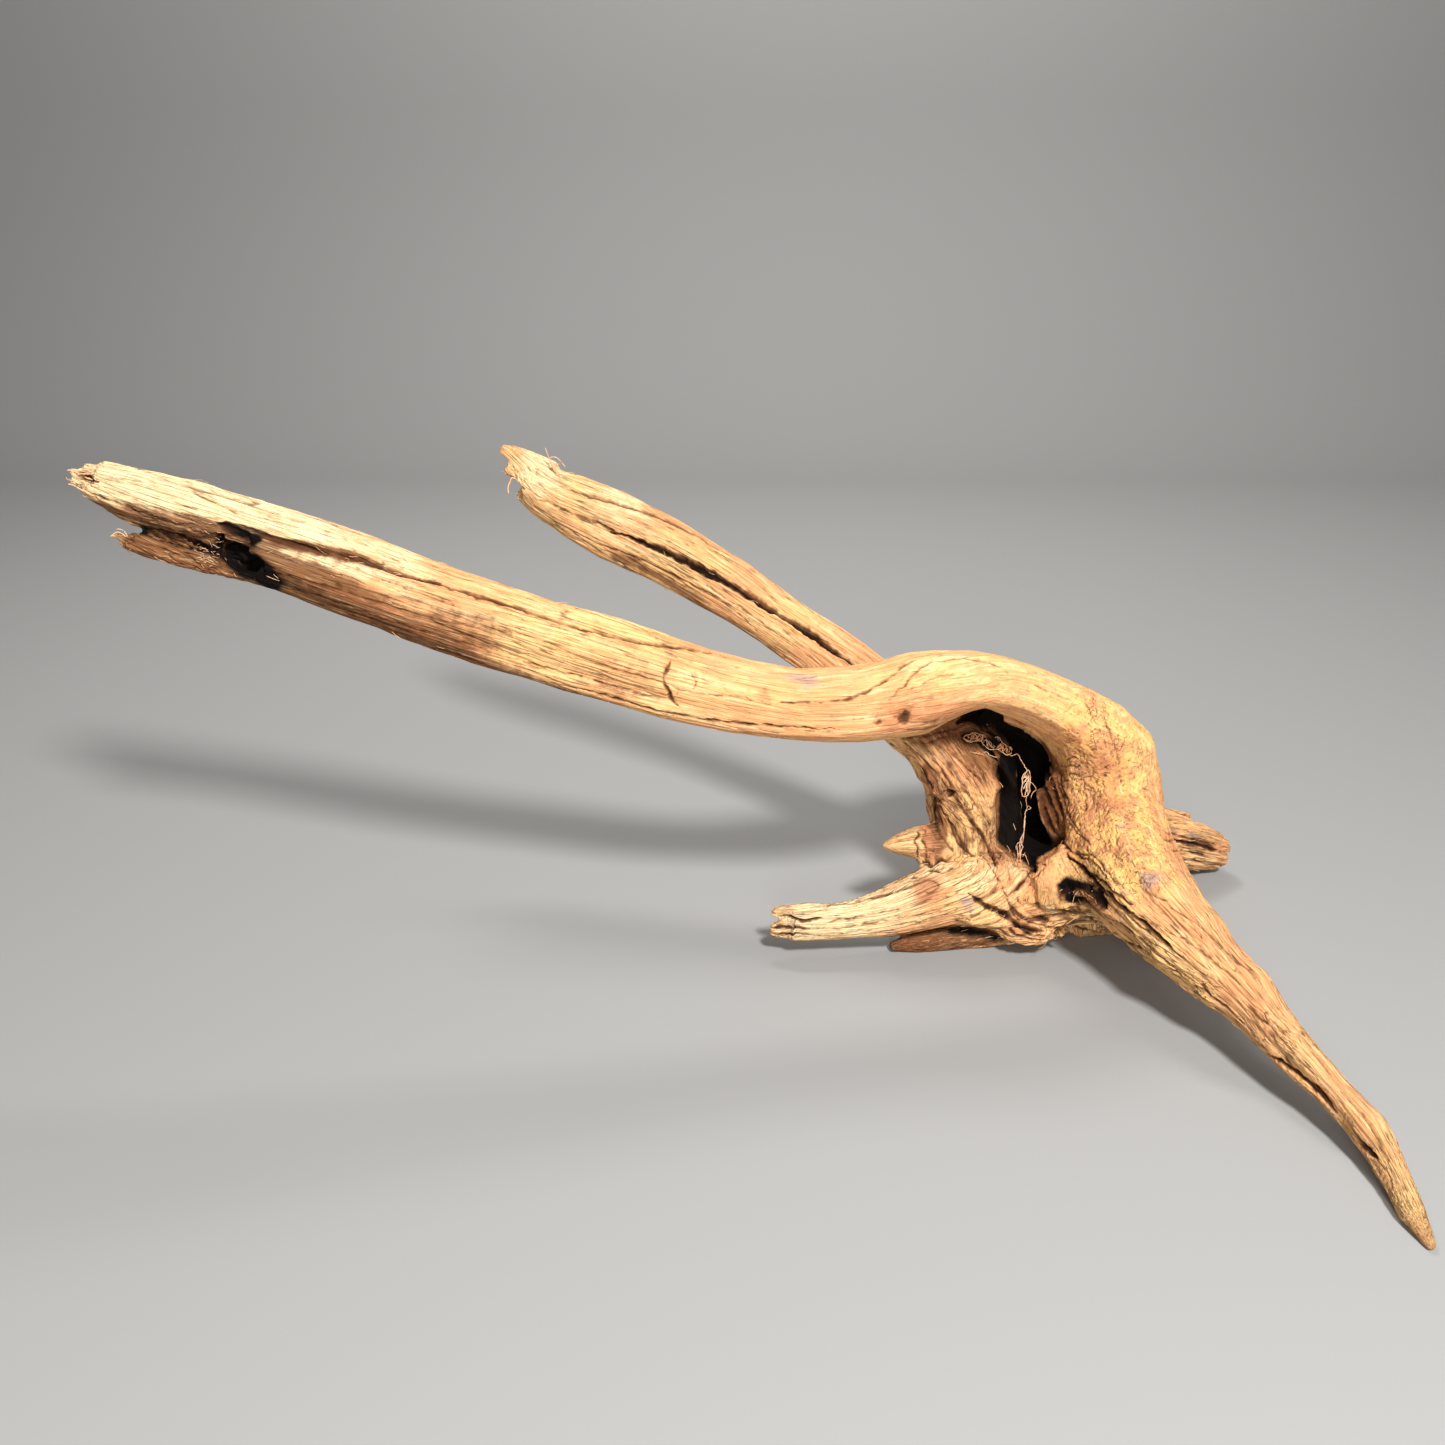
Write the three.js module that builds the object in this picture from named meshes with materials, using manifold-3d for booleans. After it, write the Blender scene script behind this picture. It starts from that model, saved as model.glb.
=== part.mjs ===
// Aquarium driftwood: one weathered root stock with a hollow, arched trunk, two long limbs
// that reach out to the left, and roots that spread over the floor.
// Units are millimetres, +Z is up and +Y points away from the viewer.
// The origin lies on the floor, in the middle of the flat foot under the trunk.
import * as THREE from 'three';
import { mergeVertices } from 'three/addons/utils/BufferGeometryUtils.js';
import Module from 'manifold-3d';

const wasm = await Module();
wasm.setup();

// Driving dimensions

const FORK_GAP = 0.3; // clearance where two pieces meet at a fork
const REACH = 900; // longer than the whole piece, for the blocks that trim it
const FRONT = new THREE.Vector3(0, -0.94, 0.34); // from the wood towards the viewer
const UPPER_LEFT = new THREE.Vector3(-0.5, -0.2, 0.8); // the seen side of the front root
const UPWARD = new THREE.Vector3(0, 0, 1);
const RING_STEP = 17; // length of one facet along a limb
const SIDES = 20; // facets around a thick limb
const FRONT_ROOT_SIDES = 18;
const ROOT_SIDES = 16; // facets around a short root
const PLANK_SIDES = 14;
const TWIG_SIDES = 12; // facets around a thin root or stub
const SPLINTER_SIDES = 6;
const RIDGE_TURN = 70; // length along a limb over which its ridges turn by one radian
const RAGGED_SIZE = 2.6; // size of the bumps on a broken end
const LUMP_SIDES = 9;
const LUMP_BANDS = 6;
const LUMP_ROUGHNESS = 0.1; // how uneven a lump or pit is, as a share of its radius
const LUMP_BUMP_SIZE = 0.45; // size of that unevenness, in radii
const MERGE_DISTANCE = 0.001; // corners closer than this are one corner

// A station is [x, y, z, half-width, depth ratio]. A limb is a smooth tube through its
// stations. The half-width is measured across the view, the depth ratio is the thickness
// along the view divided by the width.
const ARCH = [
  [52, 0, 0, 34, 0.95],
  [50, -1, 30, 32.5, 0.95],
  [43.5, -3, 60, 29.6, 0.95],
  [37, -5, 89, 30.6, 0.9],
  [31, -9, 115, 28.6, 0.95],
  [12, -15, 136, 19.5, 1.25],
  [-13, -21, 152, 16.2, 1.35],
  [-34, -27, 161, 16, 1.3],
  [-57, -35, 165, 17.3, 1.15],
  [-79, -42, 161, 21.8, 0.95],
  [-101, -47, 158, 20.2, 0.85],
  [-123, -51, 157, 19.8, 0.8],
];
const FRONT_LIMB = [
  [-144, -54, 158, 19, 0.8],
  [-165, -56, 162, 19.4, 0.78],
  [-207, -58, 173, 20.8, 0.74],
  [-248, -59, 186, 21.5, 0.7],
  [-309, -59, 206, 22, 0.66],
  [-349, -58, 221, 21.8, 0.64],
  [-389, -56, 235, 21.3, 0.62],
  [-418, -55, 245, 20.4, 0.6],
];
const PLANK = [
  [-330, -54, 219, 11, 1.1],
  [-379, -53, 241, 12.2, 1.1],
  [-429, -51, 256, 13.1, 1.05],
  [-470, -47, 265, 14.2, 0.95],
  [-493, -45, 271, 12.6, 0.9],
  [-501, -44, 275, 10.4, 0.9],
];
const PRONG = [
  [-386, -55, 223, 10.5, 1],
  [-410, -55, 230, 8.1, 1],
  [-450, -56, 238, 6.1, 1],
  [-478, -56, 245, 5.2, 1],
  [-484, -56, 247, 4.6, 1],
];
const REAR_LIMB = [
  [-22, 8, 0, 30, 1],
  [-24, 7, 22, 28, 1],
  [-31, 5, 46, 25, 1],
  [-38, 5, 66, 22.6, 1],
  [-47, 7, 87, 21.1, 1],
  [-64, 12, 112, 19.3, 1],
  [-84, 21, 132, 18.1, 1],
  [-110, 35, 149, 17.1, 0.95],
  [-136, 51, 163, 17.3, 0.9],
  [-159, 63, 177, 17.5, 0.85],
  [-186, 76, 192, 18.2, 0.8],
  [-223, 93, 210, 20.6, 0.75],
  [-261, 108, 225, 20.8, 0.7],
  [-294, 121, 237, 16.6, 0.72],
  [-310, 128, 245, 12.8, 0.75],
];
const LEFT_ROOT = [
  [8, -4, 26, 26, 1],
  [-12, -12, 31, 25, 1],
  [-34, -20, 33, 23, 0.95],
  [-54, -26, 33, 19.6, 0.9],
  [-66, -28, 31, 18, 0.9],
  [-77, -30, 27, 16.2, 0.9],
  [-90, -32, 24, 14.2, 0.9],
  [-104, -34, 22, 12.2, 0.9],
  [-120, -37, 21, 11, 0.9],
  [-135, -38, 21, 10.4, 0.9],
  [-145, -39, 21, 9.8, 0.85],
];
const FRONT_ROOT = [
  [38, -2, 92, 24.5, 1],
  [37, -24, 78, 26.5, 1],
  [38, -50, 65, 26.5, 1],
  [41, -74, 57.5, 24.8, 1],
  [48, -98, 52, 22.2, 1],
  [58, -118, 46.5, 18.2, 1],
  [74, -142, 37, 14.2, 1],
  [86, -176, 28, 10.4, 1],
  [98, -204, 20, 8.1, 1],
  [106, -229, 13.5, 7.9, 1],
  [107, -249, 8.5, 6.1, 1],
  [106, -265, 5.4, 5.6, 1],
  [106, -277, 3, 3.6, 1],
  [107, -283, 1.6, 1.8, 1],
];
const BACK_ROOT = [
  [20, 20, 42, 26, 1],
  [42, 35, 42, 22, 1],
  [63, 46, 38, 19, 1.1],
  [94, 61, 27, 17.4, 1.2],
  [114, 69, 20, 15.6, 1.25],
  [129, 75, 13.5, 13.8, 1.3],
  [135, 77, 11.5, 12.8, 1.3],
];
const UNDER_ROOT = [
  [-8, -22, 14, 13, 1],
  [-30, -25, 9, 9, 1],
  [-54, -28, 5.6, 7, 1.1],
  [-74, -32, 4.8, 6, 1.1],
  [-84, -34, 4.2, 4.8, 1],
  [-88, -35, 4, 2.4, 1],
];
const BACK_STRIP = [[70, 60, 44], [116, 75, 35], 9, 1.1]; // ridge along the back root
const SNAG = [
  [-34, -3, 52, 15, 1],
  [-52, -7, 57, 12.9, 1],
  [-66, -11, 59.5, 10.6, 1],
  [-77, -15, 60, 8.2, 1],
  [-86, -18, 60.5, 4.9, 1],
  [-93, -20, 61, 1.2, 1],
];
const CORE = [
  [10, 26, 0, 52, 0.88],
  [6, 27, 28, 50, 0.88],
  [2, 27, 60, 47, 0.9],
  [-4, 27, 94, 42, 0.9],
  [-14, 25, 122, 36, 0.85],
  [-22, 20, 142, 16, 1],
];
const REAR_HEEL = [
  [2, 34, 34, 27, 1],
  [-14, 54, 22, 20, 1],
  [-28, 72, 11, 14.5, 1],
  [-38, 85, 5, 10, 1],
  [-43, 92, 3.5, 5, 1],
];

// The skin of each limb. Ridges are [count around, height as a share of the half-width,
// turn]. A groove's course is a list of [length along the limb, angle], with the angle in
// degrees from the side that faces the viewer, up over the top. Its width is in degrees.
const FRONT_LIMB_SKIN = {
  ridges: [[5, 0.03, 0.4], [8, 0.025, 1.9]],
  grooves: [
    {
      course: [[300, 66], [350, 60], [405, 48], [460, 43], [560, 42]],
      depth: 4.6, width: 12, runOut: 30,
    },
    { course: [[330, -30], [420, -38], [520, -34]], depth: 2.2, width: 12, runOut: 30 },
  ],
  ragged: 5,
};
const PLANK_SKIN = { sides: PLANK_SIDES, ridges: [[6, 0.07, 1]], ragged: 6 };
const PRONG_SKIN = { sides: TWIG_SIDES, ridges: [[2, 0.12, 1.6]], ragged: 4 };
const REAR_LIMB_SKIN = {
  ridges: [[5, 0.035, 2.2], [8, 0.025, 0.5]],
  grooves: [
    {
      course: [[150, 22], [210, 24], [290, 6], [345, -11], [400, -25]],
      depth: 5, width: 11, runOut: 25,
    },
    { course: [[290, 48], [400, 26]], depth: 2.4, width: 11, runOut: 25 },
  ],
  ragged: 5,
};
const LEFT_ROOT_SKIN = {
  sides: ROOT_SIDES,
  ridges: [[4, 0.05, 0.8], [7, 0.03, 0]],
  grooves: [{ course: [[60, -8], [170, 2]], depth: 2.6, width: 13, runOut: 20 }],
  ragged: 3,
};
const FRONT_ROOT_SKIN = {
  sides: FRONT_ROOT_SIDES,
  facing: UPPER_LEFT,
  ridges: [[5, 0.05, 1.1], [9, 0.03, 0.3]],
  grooves: [
    { course: [[40, 50], [140, 58], [260, 52]], depth: 2.6, width: 12, runOut: 30 },
    { course: [[60, 8], [200, 16]], depth: 2, width: 11, runOut: 30 },
  ],
  wander: 0.07,
};
const BACK_ROOT_SKIN = { sides: ROOT_SIDES, ridges: [[4, 0.07, 0.2], [7, 0.04, 1]], ragged: 3 };
const UNDER_ROOT_SKIN = { sides: PLANK_SIDES, ridges: [[5, 0.06, 0]] };
const CORE_SKIN = { ridges: [[4, 0.07, 1], [7, 0.05, 0]], wander: 0.1, wanderSize: 13 };
const REAR_HEEL_SKIN = { sides: TWIG_SIDES, facing: UPWARD, ridges: [[5, 0.05, 0]] };
const SNAG_SKIN = {
  sides: TWIG_SIDES, step: 9, ridges: [[4, 0.08, 0.5]], wander: 0.1, wanderSize: 7,
};
const SPLINTER_SKIN = { sides: SPLINTER_SIDES, step: 14, wander: 0.16, wanderSize: 4 };

// Where each limb is parted from the trunk: a point on the cut and the way that the limb
// leaves it, with the width and length of the room that the trunk keeps free beyond it.
const FORKS = {
  front_limb: { at: [-104, -47.5, 158], leaves: [-1, -0.2, 0], width: 62, length: 40 },
  rear_limb: { at: [-94, 26, 139], leaves: [-0.76, 0.42, 0.5], width: 62, length: 40 },
  left_root: { at: [-82, -30.5, 27], leaves: [-1, -0.12, -0.22], width: 42, length: 40 },
  front_root: { at: [46, -95, 59], leaves: [0.48, -0.78, -0.38], width: 80, length: 50 },
  back_root: { at: [86, 57, 30], leaves: [0.83, 0.38, -0.35], width: 60, length: 50 },
  under_root: { at: [-47, -27, 6.5], leaves: [-1, -0.14, -0.1], width: 24, length: 40 },
};

// The mouth of the hollow under the arch, as x and z in the plane y = MOUTH_PLANE.
const MOUTH_PLANE = -35;
const MOUTH = [
  [-58, 139], [-50, 147], [-43, 151], [-34, 147], [-18, 141], [-8, 134], [-1, 123],
  [1, 110], [-2, 98], [0, 84], [6, 72], [4, 63], [-5, 58], [-13, 60], [-18, 72],
  [-23, 90], [-27, 104], [-33, 116], [-44, 124],
];
const HOLLOW_FRONT = -80; // the cutter starts in front of the wood
const HOLLOW_BACK = 36; // the back wall of the hollow
const HOLLOW_DRIFT = [0.24, -0.36]; // x and z gained for each millimetre of depth
const HOLLOW_TAPER = 0.45; // share of its width that the hollow loses at the back wall
const HOLLOW_STEPS = 5;
// A thin web of old wood crosses the hollow, set back from its mouth.
const WEB = [[-60, 131], [-42, 124], [-24, 114], [-15, 102], [-12, 86], [-12, 68], [-12, 50]];
const WEB_THICKNESS = 3.4;
const WEB_FRONT = -12;
const WEB_BACK = 38;
const WEB_STEPS = 10;

// Torn ends, each [root, end, thickness]. A splinter thins towards its end.
const SPLINTER_FLATNESS = 0.7;
const SPLINTER_THINNING = [1, 0.85, 0.45]; // at its root, its middle and its end
const PLANK_SPLINTERS = [
  [[-468, -46, 276], [-507, -44, 283], 4],
  [[-470, -44, 271], [-515, -44, 280], 5],
  [[-475, -46, 267], [-515, -45, 275], 4],
  [[-470, -43, 262], [-511, -44, 269], 3.4],
  [[-440, -52, 255], [-494, -47, 261], 5],
  [[-425, -53, 246], [-485, -50, 255], 5],
  [[-445, -54, 242], [-494, -56, 250], 3.6],
  [[-440, -56, 236], [-489, -57, 245], 4],
];
const REAR_SPLINTERS = [
  [[-290, 122, 250], [-324, 131, 264], 8],
  [[-292, 118, 240], [-321, 128, 252], 8],
];
const LEFT_SPLINTERS = [
  [[-125, -37, 26], [-157, -38, 28], 6],
  [[-122, -38, 18], [-158, -39, 17], 7.5],
];

// Lumps and pits, each [centre, radii, tip]
const KNOT_HOLE = [[-431, -66, 241], [15, 13, 8], 18]; // where the front limb splits
const TIP_HOLLOW = [[-316, 122, 241], [10, 9, 7], 35]; // in the end of the rear limb
const LUMPS = [
  [[20, -34, 44], [34, 22, 24], 12], // swelling between the hollow and the front root
  [[-9, -35, 17], [22, 14, 9.5], -6], // flaky burr at the lower edge
  [[-38, -32, 26], [25, 14, 10], 10], // ledge above the root that lies on the floor
  [[-62, -14, 48], [11, 7, 5], 0], // curled bark under the broken stub
  [[-58, -8, 92], [7, 8, 9], 0], // knob on the left edge
  [[-30, 27, 124], [42, 24, 24], -14], // saddle behind the arch, between the two limbs
];
const PITS = [
  [[17, -58, 42], [13, 8, 6.5], 24], // knot hole in the swelling
  [[-30, -49, 33], [17, 6, 2], 34], // crack above the ledge
  [[-57, -14, 91], [3.5, 5, 3], 0],
  [[-64, -20, 43], [5, 5, 2.2], 0],
  [[-92, -66, 149], [4, 4, 5], 0], // dark eye where the arch meets the front limb
  [[50, -44, -3], [52, 30, 22], -4], // worn arch under the front of the stock
  [[58, 50, -4], [30, 22, 17], 8], // worn arch between the stock and the back root
  [[-44, 34, -2], [24, 16, 15], 0], // worn arch in front of the heel
];

// Solids from three.js geometry

function solid(geometry) {
  geometry.deleteAttribute('normal');
  geometry.deleteAttribute('uv');
  const merged = mergeVertices(geometry, MERGE_DISTANCE);
  return new wasm.Manifold(new wasm.Mesh({
    numProp: 3,
    vertProperties: merged.attributes.position.array,
    triVerts: new Uint32Array(merged.index.array),
  }));
}

// The main body alone, without loose chips and without pockets sealed inside it.
function mainBody(wood) {
  return wood.decompose().reduce((best, body) => (body.volume() > best.volume() ? body : best));
}

function join(...parts) {
  return parts.reduce((whole, part) => whole.add(part));
}

// A slow, repeatable unevenness between -1 and 1 that wanders over a given size.
function unevenness(point, size) {
  const x = point.x / size;
  const y = point.y / size;
  const z = point.z / size;
  const first = Math.sin(x + 1.7 * Math.sin(y + 0.6) + 0.8 * z);
  const second = Math.sin(1.1 * y + 1.3 * Math.sin(z) - 0.7 * x);
  const third = Math.sin(0.9 * z + 1.9 * Math.sin(x + 2.1) + 0.5 * y);
  return (first + second + third) / 3;
}

// How deep a groove is at one place. Its course is a list of [length along, angle] pairs,
// the angle counted in degrees from the side that faces the viewer, up over the top.
function grooveDepth(groove, along, angle) {
  const course = groove.course;
  const last = course.length - 1;
  if (along < course[0][0] || along > course[last][0]) return 0;
  let part = 0;
  while (part < last - 1 && along > course[part + 1][0]) part += 1;
  const [startAlong, startAngle] = course[part];
  const [endAlong, endAngle] = course[part + 1];
  const share = (along - startAlong) / (endAlong - startAlong);
  const middle = THREE.MathUtils.degToRad(startAngle + share * (endAngle - startAngle));
  const away = Math.atan2(Math.sin(angle - middle), Math.cos(angle - middle));
  const spread = THREE.MathUtils.degToRad(groove.width);
  const runIn = Math.min(along - course[0][0], course[last][0] - along) / groove.runOut;
  return groove.depth * Math.exp(-((away / spread) ** 2)) * Math.min(1, runIn);
}

// A limb or root: a closed cylinder bent along its stations, with long ridges, grooves, an
// uneven girth and, where it has one, a ragged broken end.
function limb(stations, skin) {
  const { sides = SIDES, step = RING_STEP, ridges = [], grooves = [] } = skin;
  const { wander = 0.06, wanderSize = 15, ragged = 0, facing = FRONT } = skin;
  const path = new THREE.CatmullRomCurve3(
    stations.map(([x, y, z]) => new THREE.Vector3(x, y, z)), false, 'centripetal');
  const girth = new THREE.CatmullRomCurve3(
    stations.map((station) => new THREE.Vector3(station[3], station[4], 0)), false, 'catmullrom');
  const length = path.getLength();
  const rings = Math.max(3, Math.round(length / step));
  const tube = new THREE.CylinderGeometry(1, 1, 1, sides, rings);
  const places = tube.attributes.position;
  for (let i = 0; i < places.count; i += 1) {
    const share = THREE.MathUtils.clamp(places.getY(i) + 0.5, 0, 1);
    const along = share * length;
    const t = path.getUtoTmapping(share);
    const centre = path.getPoint(t);
    const tangent = path.getTangent(t);
    const front = facing.clone().addScaledVector(tangent, -facing.dot(tangent)).normalize();
    const over = new THREE.Vector3().crossVectors(tangent, front);
    const reach = Math.hypot(places.getX(i), places.getZ(i));
    const angle = Math.atan2(-places.getZ(i), places.getX(i));
    const [halfWidth, depthRatio] = girth.getPoint(t).toArray();
    const side = front.clone().multiplyScalar(Math.cos(angle) * halfWidth * depthRatio)
      .addScaledVector(over, Math.sin(angle) * halfWidth);
    const onSkin = centre.clone().add(side);
    let swell = 1 + wander * unevenness(onSkin, wanderSize);
    for (const [count, height, turn] of ridges) {
      swell += height * Math.cos(count * angle + turn + along / RIDGE_TURN);
    }
    for (const groove of grooves) {
      swell -= grooveDepth(groove, along, angle) / halfWidth;
    }
    const place = centre.addScaledVector(side, swell * reach);
    if (share === 1) {
      place.addScaledVector(tangent, ragged * unevenness(onSkin, RAGGED_SIZE) * reach);
    }
    places.setXYZ(i, place.x, place.y, place.z);
  }
  return solid(tube);
}

// A rounded lump, or a cutter for a pit: an uneven ball with its own three radii, tipped
// in the plane of the view by an angle in degrees.
function lump([x, y, z], [rx, ry, rz], tip) {
  const ball = new THREE.SphereGeometry(1, LUMP_SIDES, LUMP_BANDS);
  const places = ball.attributes.position;
  for (let i = 0; i < places.count; i += 1) {
    const place = new THREE.Vector3().fromBufferAttribute(places, i);
    place.multiplyScalar(1 + LUMP_ROUGHNESS * unevenness(place, LUMP_BUMP_SIZE));
    places.setXYZ(i, place.x, place.y, place.z);
  }
  ball.scale(rx, ry, rz);
  ball.rotateY(THREE.MathUtils.degToRad(tip));
  ball.translate(x, y, z);
  return solid(ball);
}

// A torn strip of wood between two points, thick at its root and thin at its end.
function splinter(from, to, thickness, flatness = SPLINTER_FLATNESS) {
  const middle = from.map((value, axis) => (value + to[axis]) / 2);
  const stations = [from, middle, to]
    .map((place, i) => [...place, thickness * SPLINTER_THINNING[i], flatness]);
  return limb(stations, SPLINTER_SKIN);
}

// The half of space that lies beyond a fork, or only the room that the trunk keeps free.
function beyondFork(fork, gap, width = REACH, length = REACH) {
  const block = new THREE.BoxGeometry(width, width, length);
  block.translate(0, 0, length / 2 + gap);
  const away = new THREE.Vector3(...fork.leaves).normalize();
  block.applyQuaternion(new THREE.Quaternion().setFromUnitVectors(new THREE.Vector3(0, 0, 1), away));
  block.translate(...fork.at);
  return solid(block);
}

// Everything under the floor, which trims the feet flat.
function underFloor() {
  const block = new THREE.BoxGeometry(2 * REACH, 2 * REACH, REACH);
  block.translate(0, 0, -REACH / 2);
  return solid(block);
}

// The hollow: the mouth's outline carried back into the trunk, leaning away from the
// viewer and narrowing towards the back wall.
function hollow() {
  const outline = new THREE.Shape(MOUTH.map(([x, z]) => new THREE.Vector2(x, z)));
  const depth = HOLLOW_BACK - HOLLOW_FRONT;
  const cutter = new THREE.ExtrudeGeometry(outline, {
    depth, steps: HOLLOW_STEPS, bevelEnabled: false,
  });
  const middleX = MOUTH.reduce((sum, [x]) => sum + x, 0) / MOUTH.length;
  const middleZ = MOUTH.reduce((sum, [, z]) => sum + z, 0) / MOUTH.length;
  const places = cutter.attributes.position;
  for (let i = 0; i < places.count; i += 1) {
    const y = HOLLOW_BACK - places.getZ(i);
    const behind = y - MOUTH_PLANE;
    const narrowing = 1 - HOLLOW_TAPER * (Math.max(0, behind) / (HOLLOW_BACK - MOUTH_PLANE)) ** 2;
    const x = middleX + (places.getX(i) - middleX) * narrowing + HOLLOW_DRIFT[0] * behind;
    const z = middleZ + (places.getY(i) - middleZ) * narrowing + HOLLOW_DRIFT[1] * behind;
    places.setXYZ(i, x, y, z);
  }
  return solid(cutter);
}

// The web: a thin curved wall that runs along its line and stands back in the hollow.
function web() {
  const line = new THREE.SplineCurve(WEB.map(([x, z]) => new THREE.Vector2(x, z)));
  const edge = (side) => line.getPoints(WEB_STEPS).map((point, i) => {
    const along = line.getTangent(i / WEB_STEPS);
    return new THREE.Vector2(point.x - side * along.y, point.y + side * along.x);
  });
  const outline = new THREE.Shape([
    ...edge(-WEB_THICKNESS / 2),
    ...edge(WEB_THICKNESS / 2).reverse(),
  ]);
  const plate = new THREE.ExtrudeGeometry(outline, {
    depth: WEB_BACK - WEB_FRONT, steps: 1, bevelEnabled: false,
  });
  plate.rotateX(Math.PI / 2);
  plate.translate(0, WEB_BACK, 0);
  return solid(plate);
}

// Limbs and roots, each made whole before it is parted at its fork

function archAndFrontLimb() {
  const splinters = PLANK_SPLINTERS.map((strip) => splinter(...strip));
  const wood = limb([...ARCH, ...FRONT_LIMB], FRONT_LIMB_SKIN);
  return join(wood, limb(PLANK, PLANK_SKIN), limb(PRONG, PRONG_SKIN), ...splinters)
    .subtract(lump(...KNOT_HOLE));
}

function rearLimb() {
  const splinters = REAR_SPLINTERS.map((strip) => splinter(...strip));
  return join(limb(REAR_LIMB, REAR_LIMB_SKIN), ...splinters).subtract(lump(...TIP_HOLLOW));
}

function leftRoot() {
  const splinters = LEFT_SPLINTERS.map((strip) => splinter(...strip));
  return join(limb(LEFT_ROOT, LEFT_ROOT_SKIN), ...splinters);
}

function frontRoot() {
  return limb(FRONT_ROOT, FRONT_ROOT_SKIN);
}

function backRoot() {
  return limb(BACK_ROOT, BACK_ROOT_SKIN).add(splinter(...BACK_STRIP));
}

function underRoot() {
  return limb(UNDER_ROOT, UNDER_ROOT_SKIN);
}

// The trunk: the feet of all limbs grown together round a core, with lumps, pits and the
// stub of a broken side branch

function trunk(limbs) {
  const feet = Object.entries(limbs)
    .map(([name, wood]) => wood.subtract(beyondFork(FORKS[name], -FORK_GAP / 2)));
  const core = limb(CORE, CORE_SKIN);
  const heel = limb(REAR_HEEL, REAR_HEEL_SKIN);
  const snag = limb(SNAG, SNAG_SKIN);
  const lumps = LUMPS.map((shape) => lump(...shape));
  const pits = PITS.map((shape) => lump(...shape));
  const rooms = Object.values(FORKS)
    .map((fork) => beyondFork(fork, -FORK_GAP / 2, fork.width, fork.length));
  const grown = join(...feet, core, heel, snag, ...lumps);
  return [hollow().subtract(web()), ...pits, ...rooms].reduce((wood, cut) => wood.subtract(cut), grown);
}

// Assembly

const LIMBS = {
  front_limb: archAndFrontLimb(),
  rear_limb: rearLimb(),
  left_root: leftRoot(),
  front_root: frontRoot(),
  back_root: backRoot(),
  under_root: underRoot(),
};
const COLOURS = {
  trunk: 0xc48a4c,
  front_limb: 0xd2a065,
  rear_limb: 0xcc9a5c,
  left_root: 0xcf9f63,
  front_root: 0xc8925a,
  back_root: 0xb98350,
  under_root: 0x8a5a3e,
};

const group = new THREE.Group();
group.name = 'aquarium_driftwood';

function addPiece(name, wood) {
  const trimmed = mainBody(wood.subtract(underFloor()));
  const { vertProperties, triVerts } = trimmed.getMesh();
  const geometry = new THREE.BufferGeometry();
  geometry.setAttribute('position', new THREE.BufferAttribute(vertProperties, 3));
  geometry.setIndex(new THREE.BufferAttribute(triVerts, 1));
  geometry.computeVertexNormals();
  const material = new THREE.MeshStandardMaterial({
    color: COLOURS[name], roughness: 0.85, metalness: 0, flatShading: true,
  });
  const mesh = new THREE.Mesh(geometry, material);
  mesh.name = name;
  group.add(mesh);
}

addPiece('trunk', trunk(LIMBS));
for (const [name, wood] of Object.entries(LIMBS)) {
  addPiece(name, wood.intersect(beyondFork(FORKS[name], FORK_GAP / 2)));
}

export default group;
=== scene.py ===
import math
from itertools import product

import bmesh
import bpy
import numpy as np
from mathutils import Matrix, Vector
from mathutils.bvhtree import BVHTree


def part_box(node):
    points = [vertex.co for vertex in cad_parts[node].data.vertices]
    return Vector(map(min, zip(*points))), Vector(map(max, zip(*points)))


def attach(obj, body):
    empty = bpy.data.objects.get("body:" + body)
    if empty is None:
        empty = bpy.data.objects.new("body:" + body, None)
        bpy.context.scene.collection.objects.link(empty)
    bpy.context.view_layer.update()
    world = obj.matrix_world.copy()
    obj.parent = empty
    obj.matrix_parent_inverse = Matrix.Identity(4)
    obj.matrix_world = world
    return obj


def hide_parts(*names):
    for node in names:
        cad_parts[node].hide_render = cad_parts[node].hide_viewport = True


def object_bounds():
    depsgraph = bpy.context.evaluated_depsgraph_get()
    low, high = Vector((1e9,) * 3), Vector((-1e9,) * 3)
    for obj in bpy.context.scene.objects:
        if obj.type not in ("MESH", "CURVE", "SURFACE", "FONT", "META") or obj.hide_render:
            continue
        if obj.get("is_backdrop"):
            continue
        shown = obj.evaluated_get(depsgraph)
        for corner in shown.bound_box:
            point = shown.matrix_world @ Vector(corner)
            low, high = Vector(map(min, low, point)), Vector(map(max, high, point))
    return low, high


# A weathered piece of driftwood. The solids of the frame are grown together into one fine
# skin, the skin is cut with grain, cracks and pits, and it is parted again at the forks.
# Lengths are millimetres, and are turned into metres where a mesh is made.

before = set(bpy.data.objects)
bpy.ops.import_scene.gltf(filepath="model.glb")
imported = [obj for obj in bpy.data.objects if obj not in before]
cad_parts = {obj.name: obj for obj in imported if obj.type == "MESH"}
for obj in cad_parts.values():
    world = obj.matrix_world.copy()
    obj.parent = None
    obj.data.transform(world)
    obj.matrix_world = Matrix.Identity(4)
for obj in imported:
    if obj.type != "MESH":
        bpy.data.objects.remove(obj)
cad_low, cad_high = (list(corner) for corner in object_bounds())

MM = 0.001

# The camera of the photograph

PHOTO_SIZE = 1445  # pixels along each side
PHOTO_FOCAL = 1388  # focal length in those pixels
SENSOR_WIDTH = 36
CAMERA_PLACE = np.array([-185.0, -745.0, 400.0])
CAMERA_TILT = math.radians(20)  # how far it looks down


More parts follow.
